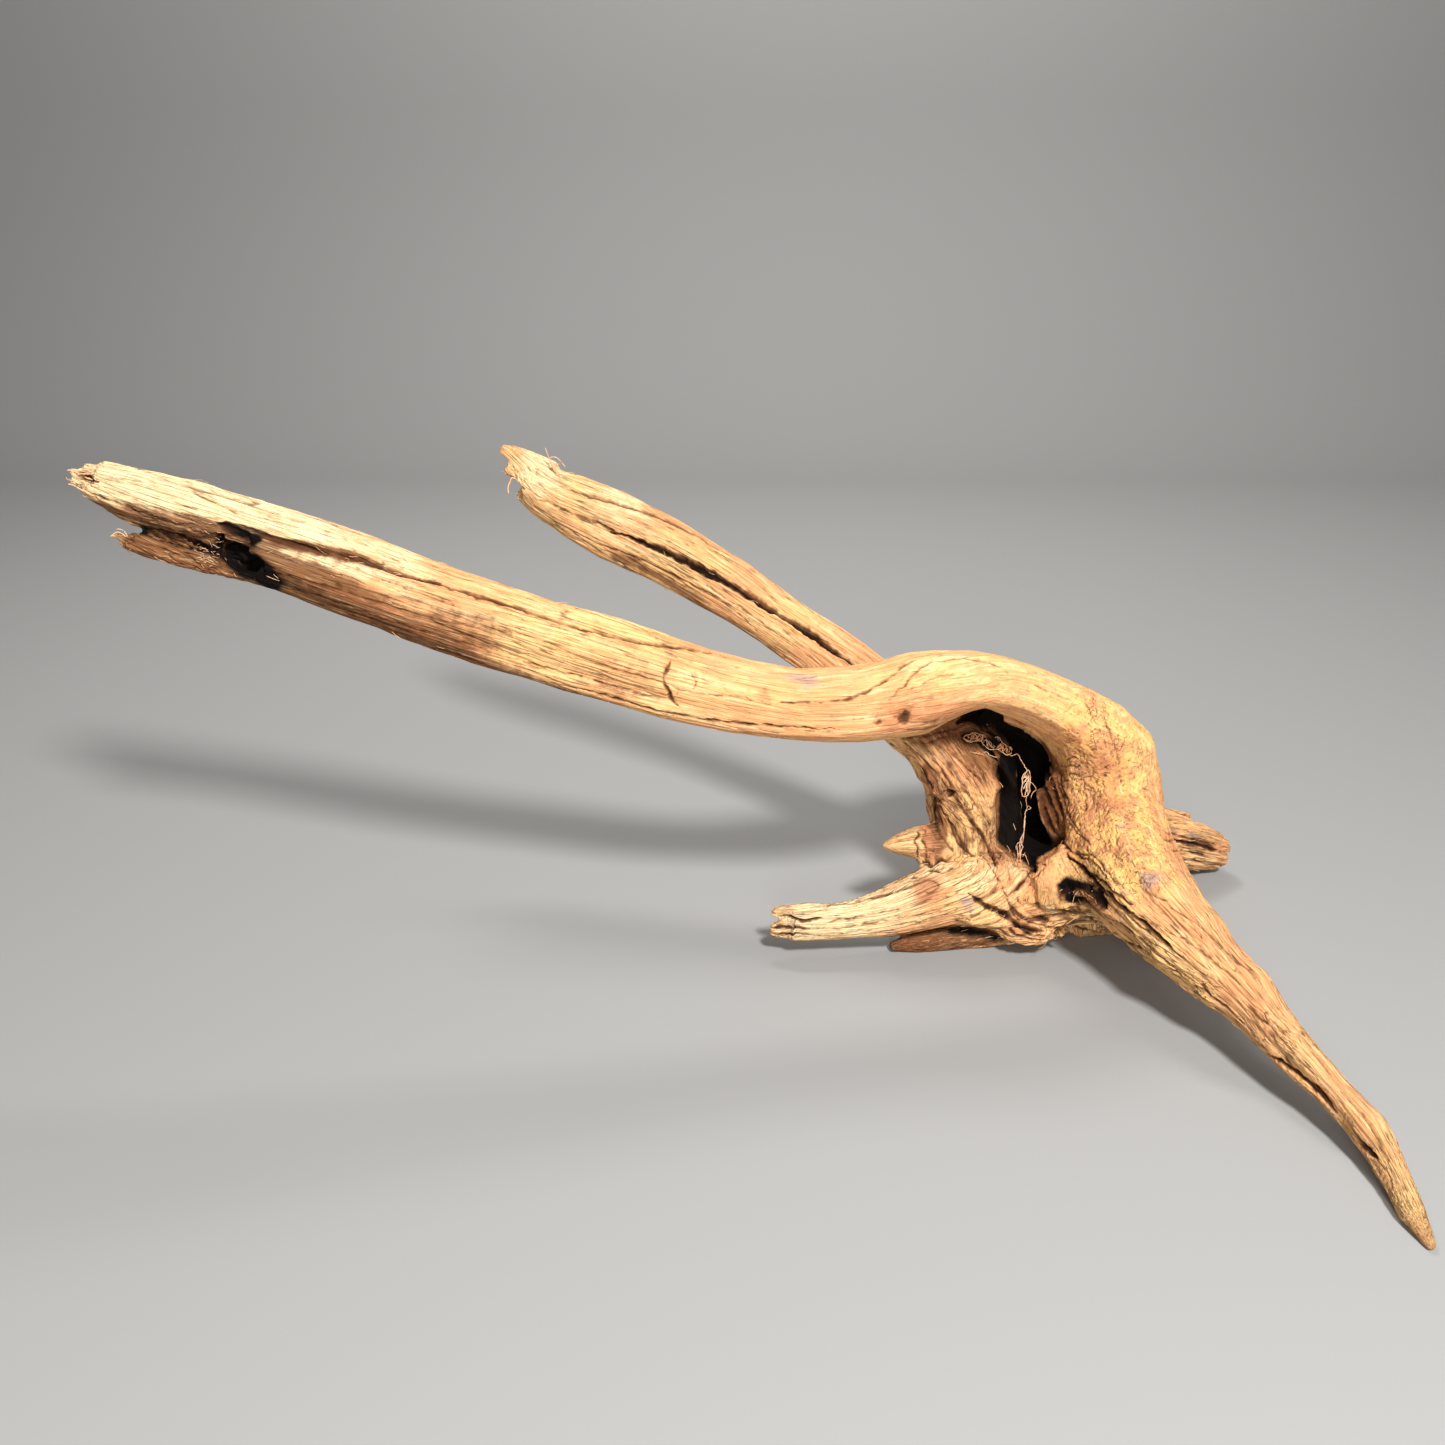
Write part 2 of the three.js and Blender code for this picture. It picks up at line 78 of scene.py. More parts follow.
def add_camera():
    camera = bpy.data.objects.new("camera", bpy.data.cameras.new("camera"))
    camera.data.sensor_width = SENSOR_WIDTH
    camera.data.lens = SENSOR_WIDTH * PHOTO_FOCAL / PHOTO_SIZE
    camera.location = CAMERA_PLACE * MM
    camera.rotation_euler = (math.pi / 2 - CAMERA_TILT, 0, 0)
    bpy.context.scene.collection.objects.link(camera)
    bpy.context.scene.camera = camera


def photo_ray(pixel):
    """The direction from the camera through a pixel of the photograph."""
    right = (pixel[0] - PHOTO_SIZE / 2) / PHOTO_FOCAL
    down = (pixel[1] - PHOTO_SIZE / 2) / PHOTO_FOCAL
    ahead = math.cos(CAMERA_TILT) - down * math.sin(CAMERA_TILT)
    fall = math.sin(CAMERA_TILT) + down * math.cos(CAMERA_TILT)
    return Vector((right, ahead, -fall)).normalized()


# Grain lines: the way that the fibres run, from the tip of a limb through the trunk to the
# tip of a root. Each point is [x, y, z, radius of the wood round it, how rough it is].
GRAIN_LINES = {
    "front": [
        [-518, -44, 278, 12, 0.7], [-470, -48, 262, 18, 0.7], [-418, -55, 245, 21, 0.9],
        [-349, -58, 221, 22, 0.65], [-248, -59, 186, 21, 0.45], [-165, -56, 162, 19, 0.25],
        [-123, -51, 157, 20, 0.25], [-79, -42, 161, 22, 0.2], [-34, -27, 161, 17, 0.12],
        [12, -15, 136, 22, 0.15], [31, -9, 114, 29, 0.2], [38, -14, 90, 31, 0.25],
        [39, -42, 68, 29, 0.5], [44, -85, 55, 24, 0.8], [60, -120, 46, 18, 0.8],
        [86, -176, 28, 10, 0.9], [98, -204, 20, 8, 0.9], [106, -235, 12, 7, 0.8],
        [107, -262, 6, 5.5, 0.8], [107, -286, 2, 3, 0.6],
    ],
    "rear": [
        [-326, 133, 263, 11, 0.4], [-294, 121, 237, 17, 0.5], [-223, 93, 210, 20, 0.55],
        [-159, 63, 177, 18, 0.55], [-110, 35, 149, 17, 0.55], [-66, 12, 112, 20, 0.9],
        [-48, 5, 88, 24, 0.9], [-32, -8, 62, 27, 0.8], [-38, -20, 43, 24, 0.7],
        [-66, -28, 31, 18, 0.6], [-104, -34, 22, 12, 0.9], [-160, -39, 21, 9, 1],
    ],
    "core": [
        [12, 28, -10, 52, 0.8], [6, 27, 28, 50, 0.7], [2, 27, 60, 47, 0.5], [-4, 27, 90, 42, 0.4],
        [-16, 27, 112, 34, 0.5], [-42, 28, 126, 26, 0.6], [-82, 28, 130, 20, 0.6],
    ],
    "heel": [
        [0, 34, 40, 26, 0.6], [-14, 54, 22, 20, 0.8], [-28, 72, 11, 14, 0.9], [-45, 94, 2, 6, 0.9],
    ],
    "back": [
        [145, 80, 8, 14, 1], [117, 70, 18, 16, 1], [94, 61, 27, 18, 1], [63, 46, 38, 22, 0.9],
        [34, 32, 52, 28, 0.7],
    ],
    "base": [
        [-92, -35, 4, 4, 0.6], [-60, -29, 6, 8, 0.8], [-30, -28, 10, 13, 1.2],
        [0, -32, 16, 16, 1.5], [32, -48, 26, 18, 1.5],
    ],
    "snag": [
        [-95, -20, 61, 2, 0.2], [-77, -15, 60, 8, 0.4], [-52, -7, 57, 13, 0.9],
        [-34, -3, 52, 16, 1.1],
    ],
}
# Lines that never meet share a set, and a set gives every place one grain direction.
GRAIN_SETS = {
    "one": ("front", "snag", "heel"), "two": ("rear", "back"), "three": ("core", "base"),
}
GRAIN_BLEND = 6.0  # how sharply one line takes over from the next
LINE_STEP = 4.0
LEAST_RADIUS = 1.5
LEAST_SHARE = 0.01  # a pattern with a smaller share in a place is left out there
BLOCK = 20000  # places measured at a time, to spare memory


def curve_through(knots, spacing):
    """Points along a smooth curve through the knots, about one spacing apart."""
    knots = np.array(knots, float)
    padded = np.vstack([2 * knots[0] - knots[1], knots, 2 * knots[-1] - knots[-2]])
    points = []
    for before, start, end, after in zip(padded, padded[1:], padded[2:], padded[3:]):
        steps = max(2, round(np.linalg.norm(end - start) / spacing))
        for t in np.arange(steps) / steps:
            points.append(0.5 * (2 * start + (end - before) * t
                                 + (2 * before - 5 * start + 4 * end - after) * t ** 2
                                 + (3 * start - before - 3 * end + after) * t ** 3))
    return np.array(points + [knots[-1]])


class GrainLine:
    """A smooth line through its points, with a frame that follows it without twisting."""

    def __init__(self, points):
        fine = curve_through(points, LINE_STEP)
        self.places = fine[:, :3]
        self.radii = np.maximum(fine[:, 3], LEAST_RADIUS)
        self.roughness = fine[:, 4]
        self.width = float(self.radii.mean())
        steps = np.linalg.norm(np.diff(self.places, axis=0), axis=1)
        self.lengths = np.concatenate([[0], np.cumsum(steps)])
        self.tangents = np.gradient(self.places, self.lengths, axis=0)
        self.tangents /= np.linalg.norm(self.tangents, axis=1)[:, None]
        side = np.cross(self.tangents[0], [0, 0, 1])
        sides = []
        for tangent in self.tangents:
            side = side - tangent * side.dot(tangent)
            side = side / np.linalg.norm(side)
            sides.append(side)
        self.sides = np.array(sides)

    def at(self, lengths, values):
        if values.ndim == 1:
            return np.interp(lengths, self.lengths, values)
        return np.stack([np.interp(lengths, self.lengths, column) for column in values.T], 1)

    def nearest_length(self, places):
        distance = (self.places ** 2).sum(1)[None] - 2 * places @ self.places.T
        return self.lengths[distance.argmin(1)]

    def measure(self, places):
        """Each place's grain coordinates, distance from the line in radii, radius, roughness."""
        blocks = np.array_split(places, len(places) // BLOCK + 1)
        along = np.concatenate([self.nearest_length(block) for block in blocks])
        for _ in range(3):
            gap = places - self.at(along, self.places)
            step = np.einsum("ij,ij->i", gap, self.at(along, self.tangents))
            along = np.clip(along + step, 0, self.lengths[-1])
        gap = places - self.at(along, self.places)
        side = self.at(along, self.sides)
        up = np.cross(self.at(along, self.tangents), side)
        radius = self.at(along, self.radii)
        right = np.einsum("ij,ij->i", gap, side) / radius
        above = np.einsum("ij,ij->i", gap, up) / radius
        grain = np.stack([right * self.width, above * self.width, along], 1)
        return grain, np.linalg.norm(gap, axis=1) / radius, radius, self.at(along, self.roughness)


def measure_grain(places):
    """The grain coordinates and share of each grain set, the wood's radius and roughness."""
    names = list(GRAIN_LINES)
    measured = {name: GrainLine(points).measure(places) for name, points in GRAIN_LINES.items()}
    reach = np.stack([measured[name][1] for name in names])
    weight = np.exp(-GRAIN_BLEND * (reach - reach.min(0)))
    weight /= weight.sum(0)
    weights = dict(zip(names, weight))
    grain = {}
    share = {}
    for set_name, members in GRAIN_SETS.items():
        nearest = np.stack([weights[name] for name in members]).argmax(0)
        grains = np.stack([measured[name][0] for name in members])
        grain[set_name] = grains[nearest, np.arange(len(places))]
        share[set_name] = sum(weights[name] for name in members)
    radius = sum(weights[name] * measured[name][2] for name in names)
    rough = sum(weights[name] * measured[name][3] for name in names)
    return grain, share, radius, rough


def grain_ways(places):
    """The way that the fibres run at each place: that of the nearest grain line in radii."""
    nearest = np.full(len(places), np.inf)
    ways = np.zeros((len(places), 3))
    for points in GRAIN_LINES.values():
        line = GrainLine(points)
        grain, reach, _, _ = line.measure(places)
        nearer = reach < nearest
        ways[nearer] = line.at(grain[nearer, 2], line.tangents)
        nearest[nearer] = reach[nearer]
    return ways


# Repeatable noise

SLOPES = np.random.default_rng(7).normal(size=(256, 3))
SLOPES = (SLOPES / np.linalg.norm(SLOPES, axis=1)[:, None]).astype(np.float32)
STRIDES = np.array([73856093, 19349663, 83492791])
SEED_STRIDE = 2654435
MIXER = 1274126177
NOISE_GAIN = 1.7


def noise(places, seed):
    """Smooth noise with features about one unit wide, mostly between -1 and 1."""
    cell = np.floor(places).astype(np.int64)
    inside = (places - cell).astype(np.float32)
    ease = inside ** 3 * (inside * (inside * 6 - 15) + 10)
    total = np.zeros(len(places), np.float32)
    for corner in product((0, 1), repeat=3):
        key = (cell + np.array(corner)) @ STRIDES + seed * SEED_STRIDE
        key ^= key >> 13
        key *= MIXER
        key ^= key >> 16
        lean = np.einsum("ij,ij->i", SLOPES[key & 255], inside - np.array(corner, np.float32))
        total += lean * np.prod(np.where(corner, ease, 1 - ease), axis=1)
    return total * NOISE_GAIN


def step_between(low, high, values):
    share = np.clip((values - low) / (high - low), 0, 1)
    return share * share * (3 - 2 * share)


# The skin

VOXEL = 0.62  # as wide as the faces of the skin
FIRST_VOXEL = 1.2
SWELL = 0.25  # closes the clearance at the forks
SMOOTH_REACH = 3.2  # rounds the facets of the solids over this distance
STURDY_RADIUS = 14  # thinner wood than this has shallower grain
# Forms that run into one another: [x, y, z, reach, how wide a gap the wood fills]
FILLETS = [
    [22, -58, 36, 30, 10], [46, -62, 58, 24, 7], [-46, -24, 42, 24, 6], [34, -18, 112, 24, 5],
    [60, 50, 30, 26, 5], [-60, 4, 118, 20, 4], [10, -30, 22, 30, 6], [-433, -55, 244, 12, 5],
    [-302, 124, 248, 16, 4], [-146, -45, 20, 11, 3.4], [-30, 52, 110, 22, 7],
    [-60, 40, 112, 18, 6], [4, 58, 112, 20, 5], [-18, 64, 26, 22, 6], [-28, -8, 88, 8, 3],
]


def grown_together():
    """One closed skin round all solids of the frame."""
    whole = bmesh.new()
    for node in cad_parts.values():
        solid = bmesh.new()
        solid.from_mesh(node.data)
        bmesh.ops.remove_doubles(solid, verts=solid.verts, dist=1e-6)
        solid.normal_update()
        for corner in solid.verts:
            corner.co += corner.normal * SWELL * MM
        mesh = bpy.data.meshes.new("solid")
        solid.to_mesh(mesh)
        solid.free()
        whole.from_mesh(mesh)
    mesh = bpy.data.meshes.new("skin")
    whole.to_mesh(mesh)
    whole.free()
    skin = bpy.data.objects.new("skin", mesh)
    bpy.context.scene.collection.objects.link(skin)
    remesh(skin, FIRST_VOXEL)
    swell(skin, 1)
    remesh(skin, VOXEL)
    swell(skin, -1)
    return skin


def remesh(skin, voxel):
    modifier = skin.modifiers.new("remesh", "REMESH")
    modifier.mode = "VOXEL"
    modifier.voxel_size = voxel * MM
    apply_modifiers(skin)


def swell(skin, way):
    """Swells the skin where forms run together, or draws it in again."""
    places = places_of(skin.data)
    amount = soft_field(places, FILLETS) * way
    set_places(skin.data, places + normals_of(skin.data) * amount[:, None])


def apply_modifiers(thing):
    depsgraph = bpy.context.evaluated_depsgraph_get()
    depsgraph.update()
    thing.data = bpy.data.meshes.new_from_object(thing.evaluated_get(depsgraph))
    thing.modifiers.clear()


def places_of(mesh):
    values = np.empty(len(mesh.vertices) * 3, np.float32)
    mesh.vertices.foreach_get("co", values)
    return values.reshape(-1, 3).astype(float) / MM


def normals_of(mesh):
    values = np.empty(len(mesh.vertices) * 3, np.float32)
    mesh.vertices.foreach_get("normal", values)
    return values.reshape(-1, 3).astype(float)


def within_box(places, margin=0.0):
    """The places, moved inside the box of the solids where they are past it."""
    return np.clip(places, np.array(cad_low) / MM + margin, np.array(cad_high) / MM - margin)


def set_places(mesh, places):
    mesh.vertices.foreach_set("co", (places * MM).astype(np.float32).ravel())
    mesh.update()


def weight_group(thing, name, weights):
    """A vertex group with its weights rounded to tenths, because each level is one call."""
    group = thing.vertex_groups.new(name=name)
    levels = np.round(weights * 10).astype(int)
    for level in range(0, 11):
        members = np.nonzero(levels == level)[0]
        if len(members):
            group.add(members.tolist(), level / 10, "REPLACE")


def round_facets(skin, radius):
    """Rounds the skin, and less so where the wood is thin."""
    weight_group(skin, "rounding", np.clip((radius - 5) / 9, 0.1, 1))
    smooth = skin.modifiers.new("smooth", "SMOOTH")
    smooth.factor = 0.5
    smooth.iterations = int(2 * (SMOOTH_REACH / VOXEL) ** 2)
    smooth.vertex_group = "rounding"
    apply_modifiers(skin)
    skin.vertex_groups.clear()


def soft_field(places, spots):
    """The sum of soft round spots, each [x, y, z, reach, strength]."""
    total = np.zeros(len(places))
    for x, y, z, reach, strength in spots:
        distance = ((places - np.array([x, y, z])) ** 2).sum(1)
        total += strength * np.exp(-distance / reach ** 2)
    return total


# Marks read off the photograph, each placed by its pixels there.

# Cracks and grooves: (width, depth, pixels along it)
CRACKS = {
    "rear groove": (5.6, 4.2, [(607, 531), (640, 541), (675, 556), (705, 571), (740, 590),
        (775, 612), (810, 633), (835, 651), (860, 669)]),
    "rear upper line": (3, 1.2, [(560, 486), (590, 496), (617, 504), (660, 518), (700, 537),
        (722, 551)]),
    "rear tip line": (2.5, 1.5, [(532, 496), (560, 508), (600, 525), (625, 537)]),
    "rear low line": (2, 1, [(560, 525), (600, 545), (640, 560), (690, 585), (730, 607),
        (765, 640)]),
    "rear low line two": (1.5, 0.8, [(640, 552), (680, 572), (715, 592), (760, 622), (800, 650)]),
    "arch recess": (15, 8, [(958, 722), (976, 714), (996, 722), (1018, 732), (1040, 746),
        (1052, 768)]),
    "cavity": (17, 8, [(216, 536), (232, 548), (248, 558), (262, 572)]),
    "cavity top": (8, 4, [(216, 524), (236, 532), (252, 541)]),
    "prong slot": (5, 6, [(112, 520), (140, 529), (165, 536), (190, 543), (208, 548)]),
    "plank under line": (2.4, 1.8, [(110, 512), (135, 520), (165, 528), (200, 536)]),
    "plank groove": (5, 2.2, [(224, 523), (250, 530), (275, 541), (300, 546), (330, 553),
        (365, 561), (400, 572), (440, 583)]),
    "plank line": (3, 1.6, [(430, 581), (480, 596), (530, 612), (580, 628), (630, 640), (680, 648),
        (730, 657)]),
    "body line": (2, 1.2, [(272, 572), (320, 585), (370, 600), (430, 618), (485, 630)]),
    "body line two": (1.6, 1, [(283, 588), (330, 600), (395, 623), (450, 640), (500, 652)]),
    "low line": (3, 2.6, [(300, 602), (350, 621), (400, 639), (450, 654), (500, 671), (560, 689),
        (620, 705), (680, 721)]),
    "low line two": (2.4, 2, [(545, 682), (600, 695), (660, 712), (720, 722), (780, 727),
        (840, 730)]),
    "under line": (2, 1.6, [(715, 731), (770, 737), (810, 738), (850, 739)]),
    "body line three": (1.4, 1, [(500, 655), (560, 672), (620, 688), (655, 697)]),
    "body line four": (1.4, 1, [(560, 655), (610, 668), (660, 682), (690, 692), (745, 698),
        (772, 704)]),
    "cross crack": (2.2, 2.4, [(671, 660), (666, 671), (664, 681), (667, 690), (672, 701),
        (679, 706)]),
    "cross branch": (1.3, 1.2, [(673, 702), (678, 691)]),
    "cross crack two": (1.3, 1.2, [(692, 675), (696, 682), (694, 690)]),
    "long arch line": (2.2, 1.6, [(770, 704), (810, 702), (845, 699), (872, 689), (890, 677),
        (908, 662), (930, 655)]),
    "arch line": (2, 1.5, [(884, 707), (902, 687), (922, 667), (948, 659), (975, 659), (1000, 667),
        (1020, 682)]),
    "inner arch line": (1.4, 0.9, [(908, 690), (935, 678), (958, 674), (976, 675)]),
    "right arch line": (1.5, 0.9, [(1032, 684), (1055, 694), (1077, 703)]),
    "lip line": (2, 1.5, [(885, 737), (905, 739), (925, 736), (950, 730), (975, 723),
        (1000, 722)]),
    "lip line two": (1.2, 1, [(900, 731), (925, 729), (948, 722), (965, 714)]),
    "lip line three": (1.2, 1, [(905, 744), (928, 742), (950, 736), (972, 729)]),
    "wall crack": (3, 2.6, [(948, 790), (962, 808), (975, 826), (985, 840), (993, 858),
        (998, 872)]),
    "wall line": (2, 1.6, [(903, 745), (925, 762), (943, 782), (958, 804), (970, 822)]),
    "wall line two": (1.6, 1.3, [(925, 748), (945, 765), (962, 786), (975, 806)]),
    "wall line three": (1.6, 1.2, [(942, 745), (960, 760), (980, 778)]),
    "wall line four": (2, 1.6, [(938, 800), (948, 822), (960, 844), (975, 858)]),
    "wall line five": (1.6, 1.2, [(936, 825), (946, 842), (958, 856)]),
    "fold": (3, 2, [(1036, 861), (1027, 872), (1019, 886), (1008, 897)]),
    "fold line": (1.6, 1.4, [(1030, 858), (1044, 866), (1035, 876), (1026, 890)]),
    "patch crack": (4, 2.8, [(968, 893), (984, 905), (1000, 911), (1012, 920), (1022, 930)]),
    "base line": (2, 1.8, [(1004, 893), (1012, 908), (1026, 920), (1046, 926), (1070, 930)]),
    "base line two": (2, 1.6, [(1012, 888), (1022, 905), (1036, 917), (1058, 924)]),
    "base line three": (1.8, 1.4, [(1001, 884), (1008, 900), (1014, 914), (1020, 922)]),
    "crevice": (4, 3.6, [(1064, 851), (1082, 869), (1099, 888), (1117, 903), (1142, 923),
        (1164, 942), (1182, 958)]),
    "crevice two": (2.6, 2.4, [(1072, 857), (1090, 874), (1108, 887), (1124, 899), (1140, 907)]),
    "crevice three": (2.4, 2.2, [(1098, 908), (1118, 924), (1138, 938), (1158, 953), (1176, 970)]),
    "crevice four": (2, 1.6, [(1085, 851), (1100, 862), (1112, 878), (1126, 887)]),
    "leg line": (2.2, 1.8, [(1060, 925), (1090, 931), (1120, 941), (1148, 956), (1172, 975),
        (1196, 993)]),
    "root fan": (2, 1.8, [(1080, 913), (1095, 923), (1110, 933), (1126, 943)]),
    "root fan two": (2, 1.8, [(1096, 909), (1110, 920), (1126, 931), (1142, 945)]),
    "leg line two": (1.8, 1.4, [(1120, 905), (1150, 921), (1185, 940), (1215, 962), (1240, 985)]),
    "leg line three": (2.2, 2, [(1192, 982), (1216, 1000), (1238, 1018), (1253, 1034)]),
    "leg line four": (1.2, 0.8, [(1140, 890), (1155, 897), (1170, 901)]),
    "leg line five": (1.4, 1, [(1165, 905), (1195, 922), (1222, 945), (1245, 968), (1262, 990)]),
    "leg line six": (1.6, 1.2, [(1225, 985), (1250, 1008), (1275, 1032), (1300, 1062),
        (1322, 1085)]),
    "leg crack": (3.4, 3, [(1258, 1049), (1283, 1064), (1305, 1080), (1324, 1098), (1337, 1113)]),
    "leg notch": (4, 3.5, [(1354, 1134), (1364, 1147), (1378, 1159)]),
    "shin line": (1.5, 1, [(1340, 1090), (1360, 1112), (1378, 1140), (1392, 1170), (1402, 1200)]),
    "bruise line": (1.6, 1.2, [(1232, 957), (1245, 968), (1257, 976)]),
    "left root fork": (3, 3, [(772, 919), (788, 917), (803, 921), (822, 919)]),
    "left root tear": (3, 2.2, [(770, 928), (782, 926), (796, 927), (814, 929)]),
    "left root tear two": (2.4, 1.8, [(774, 935), (790, 934), (810, 936), (830, 937)]),
    "left root line": (1.6, 1.2, [(805, 907), (840, 903), (885, 893), (930, 878)]),
    "left root line two": (1.6, 1.2, [(815, 925), (860, 917), (905, 908), (950, 893)]),
    "left root line three": (1.4, 1, [(820, 935), (865, 931), (910, 924), (955, 912)]),
    "snag ring": (2.4, 2.2, [(914, 826), (919, 833), (915, 841), (919, 849), (916, 859)]),
    "snag ring two": (2, 1.8, [(922, 823), (926, 831), (923, 840), (927, 849), (924, 861)]),
    "rim line": (8, 3, [(1040, 778), (1044, 792), (1050, 808), (1058, 828)]),
    "rim line two": (7, 3, [(1047, 772), (1051, 786), (1056, 802), (1062, 818)]),
    "rim line four": (6, 2.6, [(1041, 794), (1043, 806), (1047, 819), (1053, 833)]),
    "rim line three": (2.4, 2.2, [(1056, 776), (1060, 792), (1066, 810), (1074, 826)]),
    "flap line": (3.4, 2.8, [(914, 868), (922, 862), (932, 866), (941, 859), (949, 865)]),
    "flap line two": (2.4, 2, [(922, 873), (934, 869), (944, 873), (954, 868)]),
    "wall hatch": (1.8, 1.4, [(928, 756), (946, 776), (960, 796), (972, 816), (982, 836)]),
    "wall hatch two": (2, 1.7, [(944, 812), (956, 832), (968, 850), (980, 868)]),
    "wall hatch three": (1.6, 1.3, [(972, 768), (984, 784), (992, 802)]),
    "burr line": (2.4, 2.2, [(1008, 918), (1020, 926), (1036, 930), (1052, 930)]),
    "burr line two": (2.2, 2, [(1006, 927), (1018, 935), (1034, 939), (1048, 938)]),
    "burr line three": (1.8, 1.6, [(1014, 922), (1030, 934), (1046, 935)]),
    "root patch": (1.8, 1.2, [(918, 884), (928, 880), (938, 886), (930, 893), (920, 890)]),
    "root line": (1.8, 1.4, [(860, 900), (890, 893), (915, 884), (940, 873)]),
    "root line two": (1.6, 1.2, [(800, 930), (840, 927), (880, 921), (920, 914), (950, 905)]),
    "back root line two": (2.4, 1.8, [(1162, 832), (1182, 836), (1204, 842), (1222, 848)]),
    "back root line three": (1.8, 1.4, [(1166, 848), (1186, 852), (1208, 856)]),
    "back root groove": (4, 3, [(1163, 838), (1180, 842), (1198, 845), (1220, 852)]),
    "back root line": (2, 1.2, [(1165, 824), (1185, 829), (1208, 838)]),
    "curl crack": (1.6, 1.2, [(1065, 762), (1071, 758), (1078, 759)]),
    "curl crack two": (1.6, 1.3, [(1062, 770), (1070, 765), (1076, 768), (1083, 764)]),
    "curl crack three": (1.6, 1.2, [(1066, 776), (1073, 774), (1080, 777), (1086, 773)]),
    "curl crack four": (1.4, 1.2, [(1060, 782), (1067, 780), (1074, 784)]),
    "long pit": (2.2, 1.6, [(1065, 792), (1067, 798), (1067, 805)]),
    "long pit two": (1.8, 1.3, [(1086, 803), (1086, 810)]),
    "long pit three": (1.8, 1.3, [(1091, 786), (1090, 793)]),
    "trunk line": (1.5, 1.1, [(1098, 702), (1106, 720), (1114, 742), (1119, 762), (1122, 790)]),
    "trunk line two": (1.3, 0.9, [(1085, 700), (1092, 716), (1100, 728)]),
    "hole line": (2, 1.8, [(1057, 884), (1060, 890), (1058, 898)]),
    "hole line two": (1.6, 1.4, [(1076, 900), (1077, 908), (1083, 914)]),
    "hole line three": (1.6, 1.4, [(1092, 903), (1097, 910), (1104, 915)]),
    "top crevice": (2.4, 2.2, [(1056, 835), (1066, 846), (1078, 856), (1092, 864)]),
    "top crevice two": (2, 1.8, [(1070, 848), (1086, 857), (1098, 868), (1108, 880)]),
    "wall line six": (1.8, 1.4, [(916, 752), (934, 772), (950, 790)]),
    "wall line seven": (2, 1.6, [(920, 770), (932, 790), (942, 806), (946, 826)]),
    "wall line eight": (1.6, 1.2, [(962, 790), (978, 806), (992, 828), (1000, 846)]),
    "wall foot line": (1.6, 1.2, [(978, 850), (990, 868), (1002, 884)]),
    "foot notch": (5, 4, [(1028, 852), (1031, 861), (1034, 871)]),
    "rim crack": (2.2, 2, [(1050, 752), (1058, 768), (1062, 786), (1066, 800)]),
    "rim crack two": (1.8, 1.6, [(1056, 778), (1061, 796), (1062, 816), (1067, 832)]),
    "rim crack three": (1.6, 1.4, [(1062, 806), (1072, 822), (1084, 836)]),
    "rim crack four": (1.6, 1.2, [(1066, 818), (1078, 834), (1092, 846)]),
    "plank end": (4, 3, [(72, 474), (84, 477), (97, 482)]),
    "plank end line": (2, 1.5, [(76, 487), (95, 495), (120, 505), (160, 520), (200, 532)]),
    "prong line": (2, 1.4, [(122, 537), (150, 545), (185, 553)]),
}
# Round hollows: (pixel, radius, depth), and a bead stands out where the depth is negative.
HOLLOWS = {
    "eye": ((906, 718), 4.5, 3), "eye pit": ((897, 714), 2.5, 1.6),
    "star pit": ((878, 722), 3, 2.4), "knot hole": ((1067, 890), 5, 5),
    "knot hole middle": ((1087, 889), 4.4, 3.6), "knot hole right": ((1096, 896), 5, 4),
    "knot hole end": ((1102, 903), 3.6, 3), "knot bead": ((1078, 894), 2.2, -3.5),
    "wall pit": ((950, 793), 2.6, 3.4), "wall knot": ((982, 815), 3, 1.2),
    "arch hollow": ((982, 710), 8, 5), "leg knot": ((1270, 1038), 3.4, 1.6),
    "trunk pit": ((1105, 845), 2.2, 1.6), "trunk pit two": ((1066, 797), 2.4, 2),
    "limb knot": ((763, 696), 3, 0.6),
}
# Soft swellings of the form: (pixel, reach, height)
SWELLINGS = {
    "arch lip": ((930, 736), 8, 2.5), "wall root": ((975, 870), 14, 3),
    "knot brow": ((1050, 905), 12, 1.5), "burr": ((1030, 934), 12, 3),
    "body lip": ((268, 549), 6, 2.5), "arch tooth": ((1064, 686), 2.2, 2),
    "arch tooth two": ((1077, 690), 2.2, 2.2), "arch tooth three": ((1089, 698), 2.4, 2.2),
    "arch tooth four": ((1101, 704), 2.2, 2.2), "arch tooth five": ((1112, 710), 2.2, 2),
    "arch tooth six": ((1124, 717), 2.2, 1.8), "wall bead": ((930, 778), 2.4, 1.6),
    "wall bead two": ((935, 791), 2.6, 1.8), "wall bead three": ((938, 804), 2.4, 1.6),
    "leg swell": ((1214, 918), 8, 2.6), "leg swell two": ((1260, 976), 9, 3),
    "leg swell three": ((1376, 1120), 8, 2.4), "leg dent": ((1280, 1014), 6, -1.4),
    "leg dent two": ((1338, 1078), 7, -1.2), "root tip": ((782, 930), 5, 1.6),
    "leg hip": ((1160, 958), 8, 2), "leg hip two": ((1205, 998), 7, 1.6),
}
# Edges bent out of their place: (reach, the way that they go, pixels along them)
BENDS = {
    "web edge": (9, (-8, 14, 0), [(1014, 762), (1017, 780), (1018, 800), (1018, 820),
        (1018, 845)]),
    "top of the rim": (7, (4, 0, 0), [(1050, 742), (1056, 756), (1058, 768)]),
    "side of the rim": (8, (-8, 0, 0), [(1052, 790), (1053, 802), (1056, 816), (1058, 828)]),
    "side of the wall": (9, (8, 0, 0), [(905, 762), (911, 772), (917, 782), (921, 791)]),
    "foot of the hollow": (6, (0, 0, -5), [(1024, 858), (1036, 858)]),
}
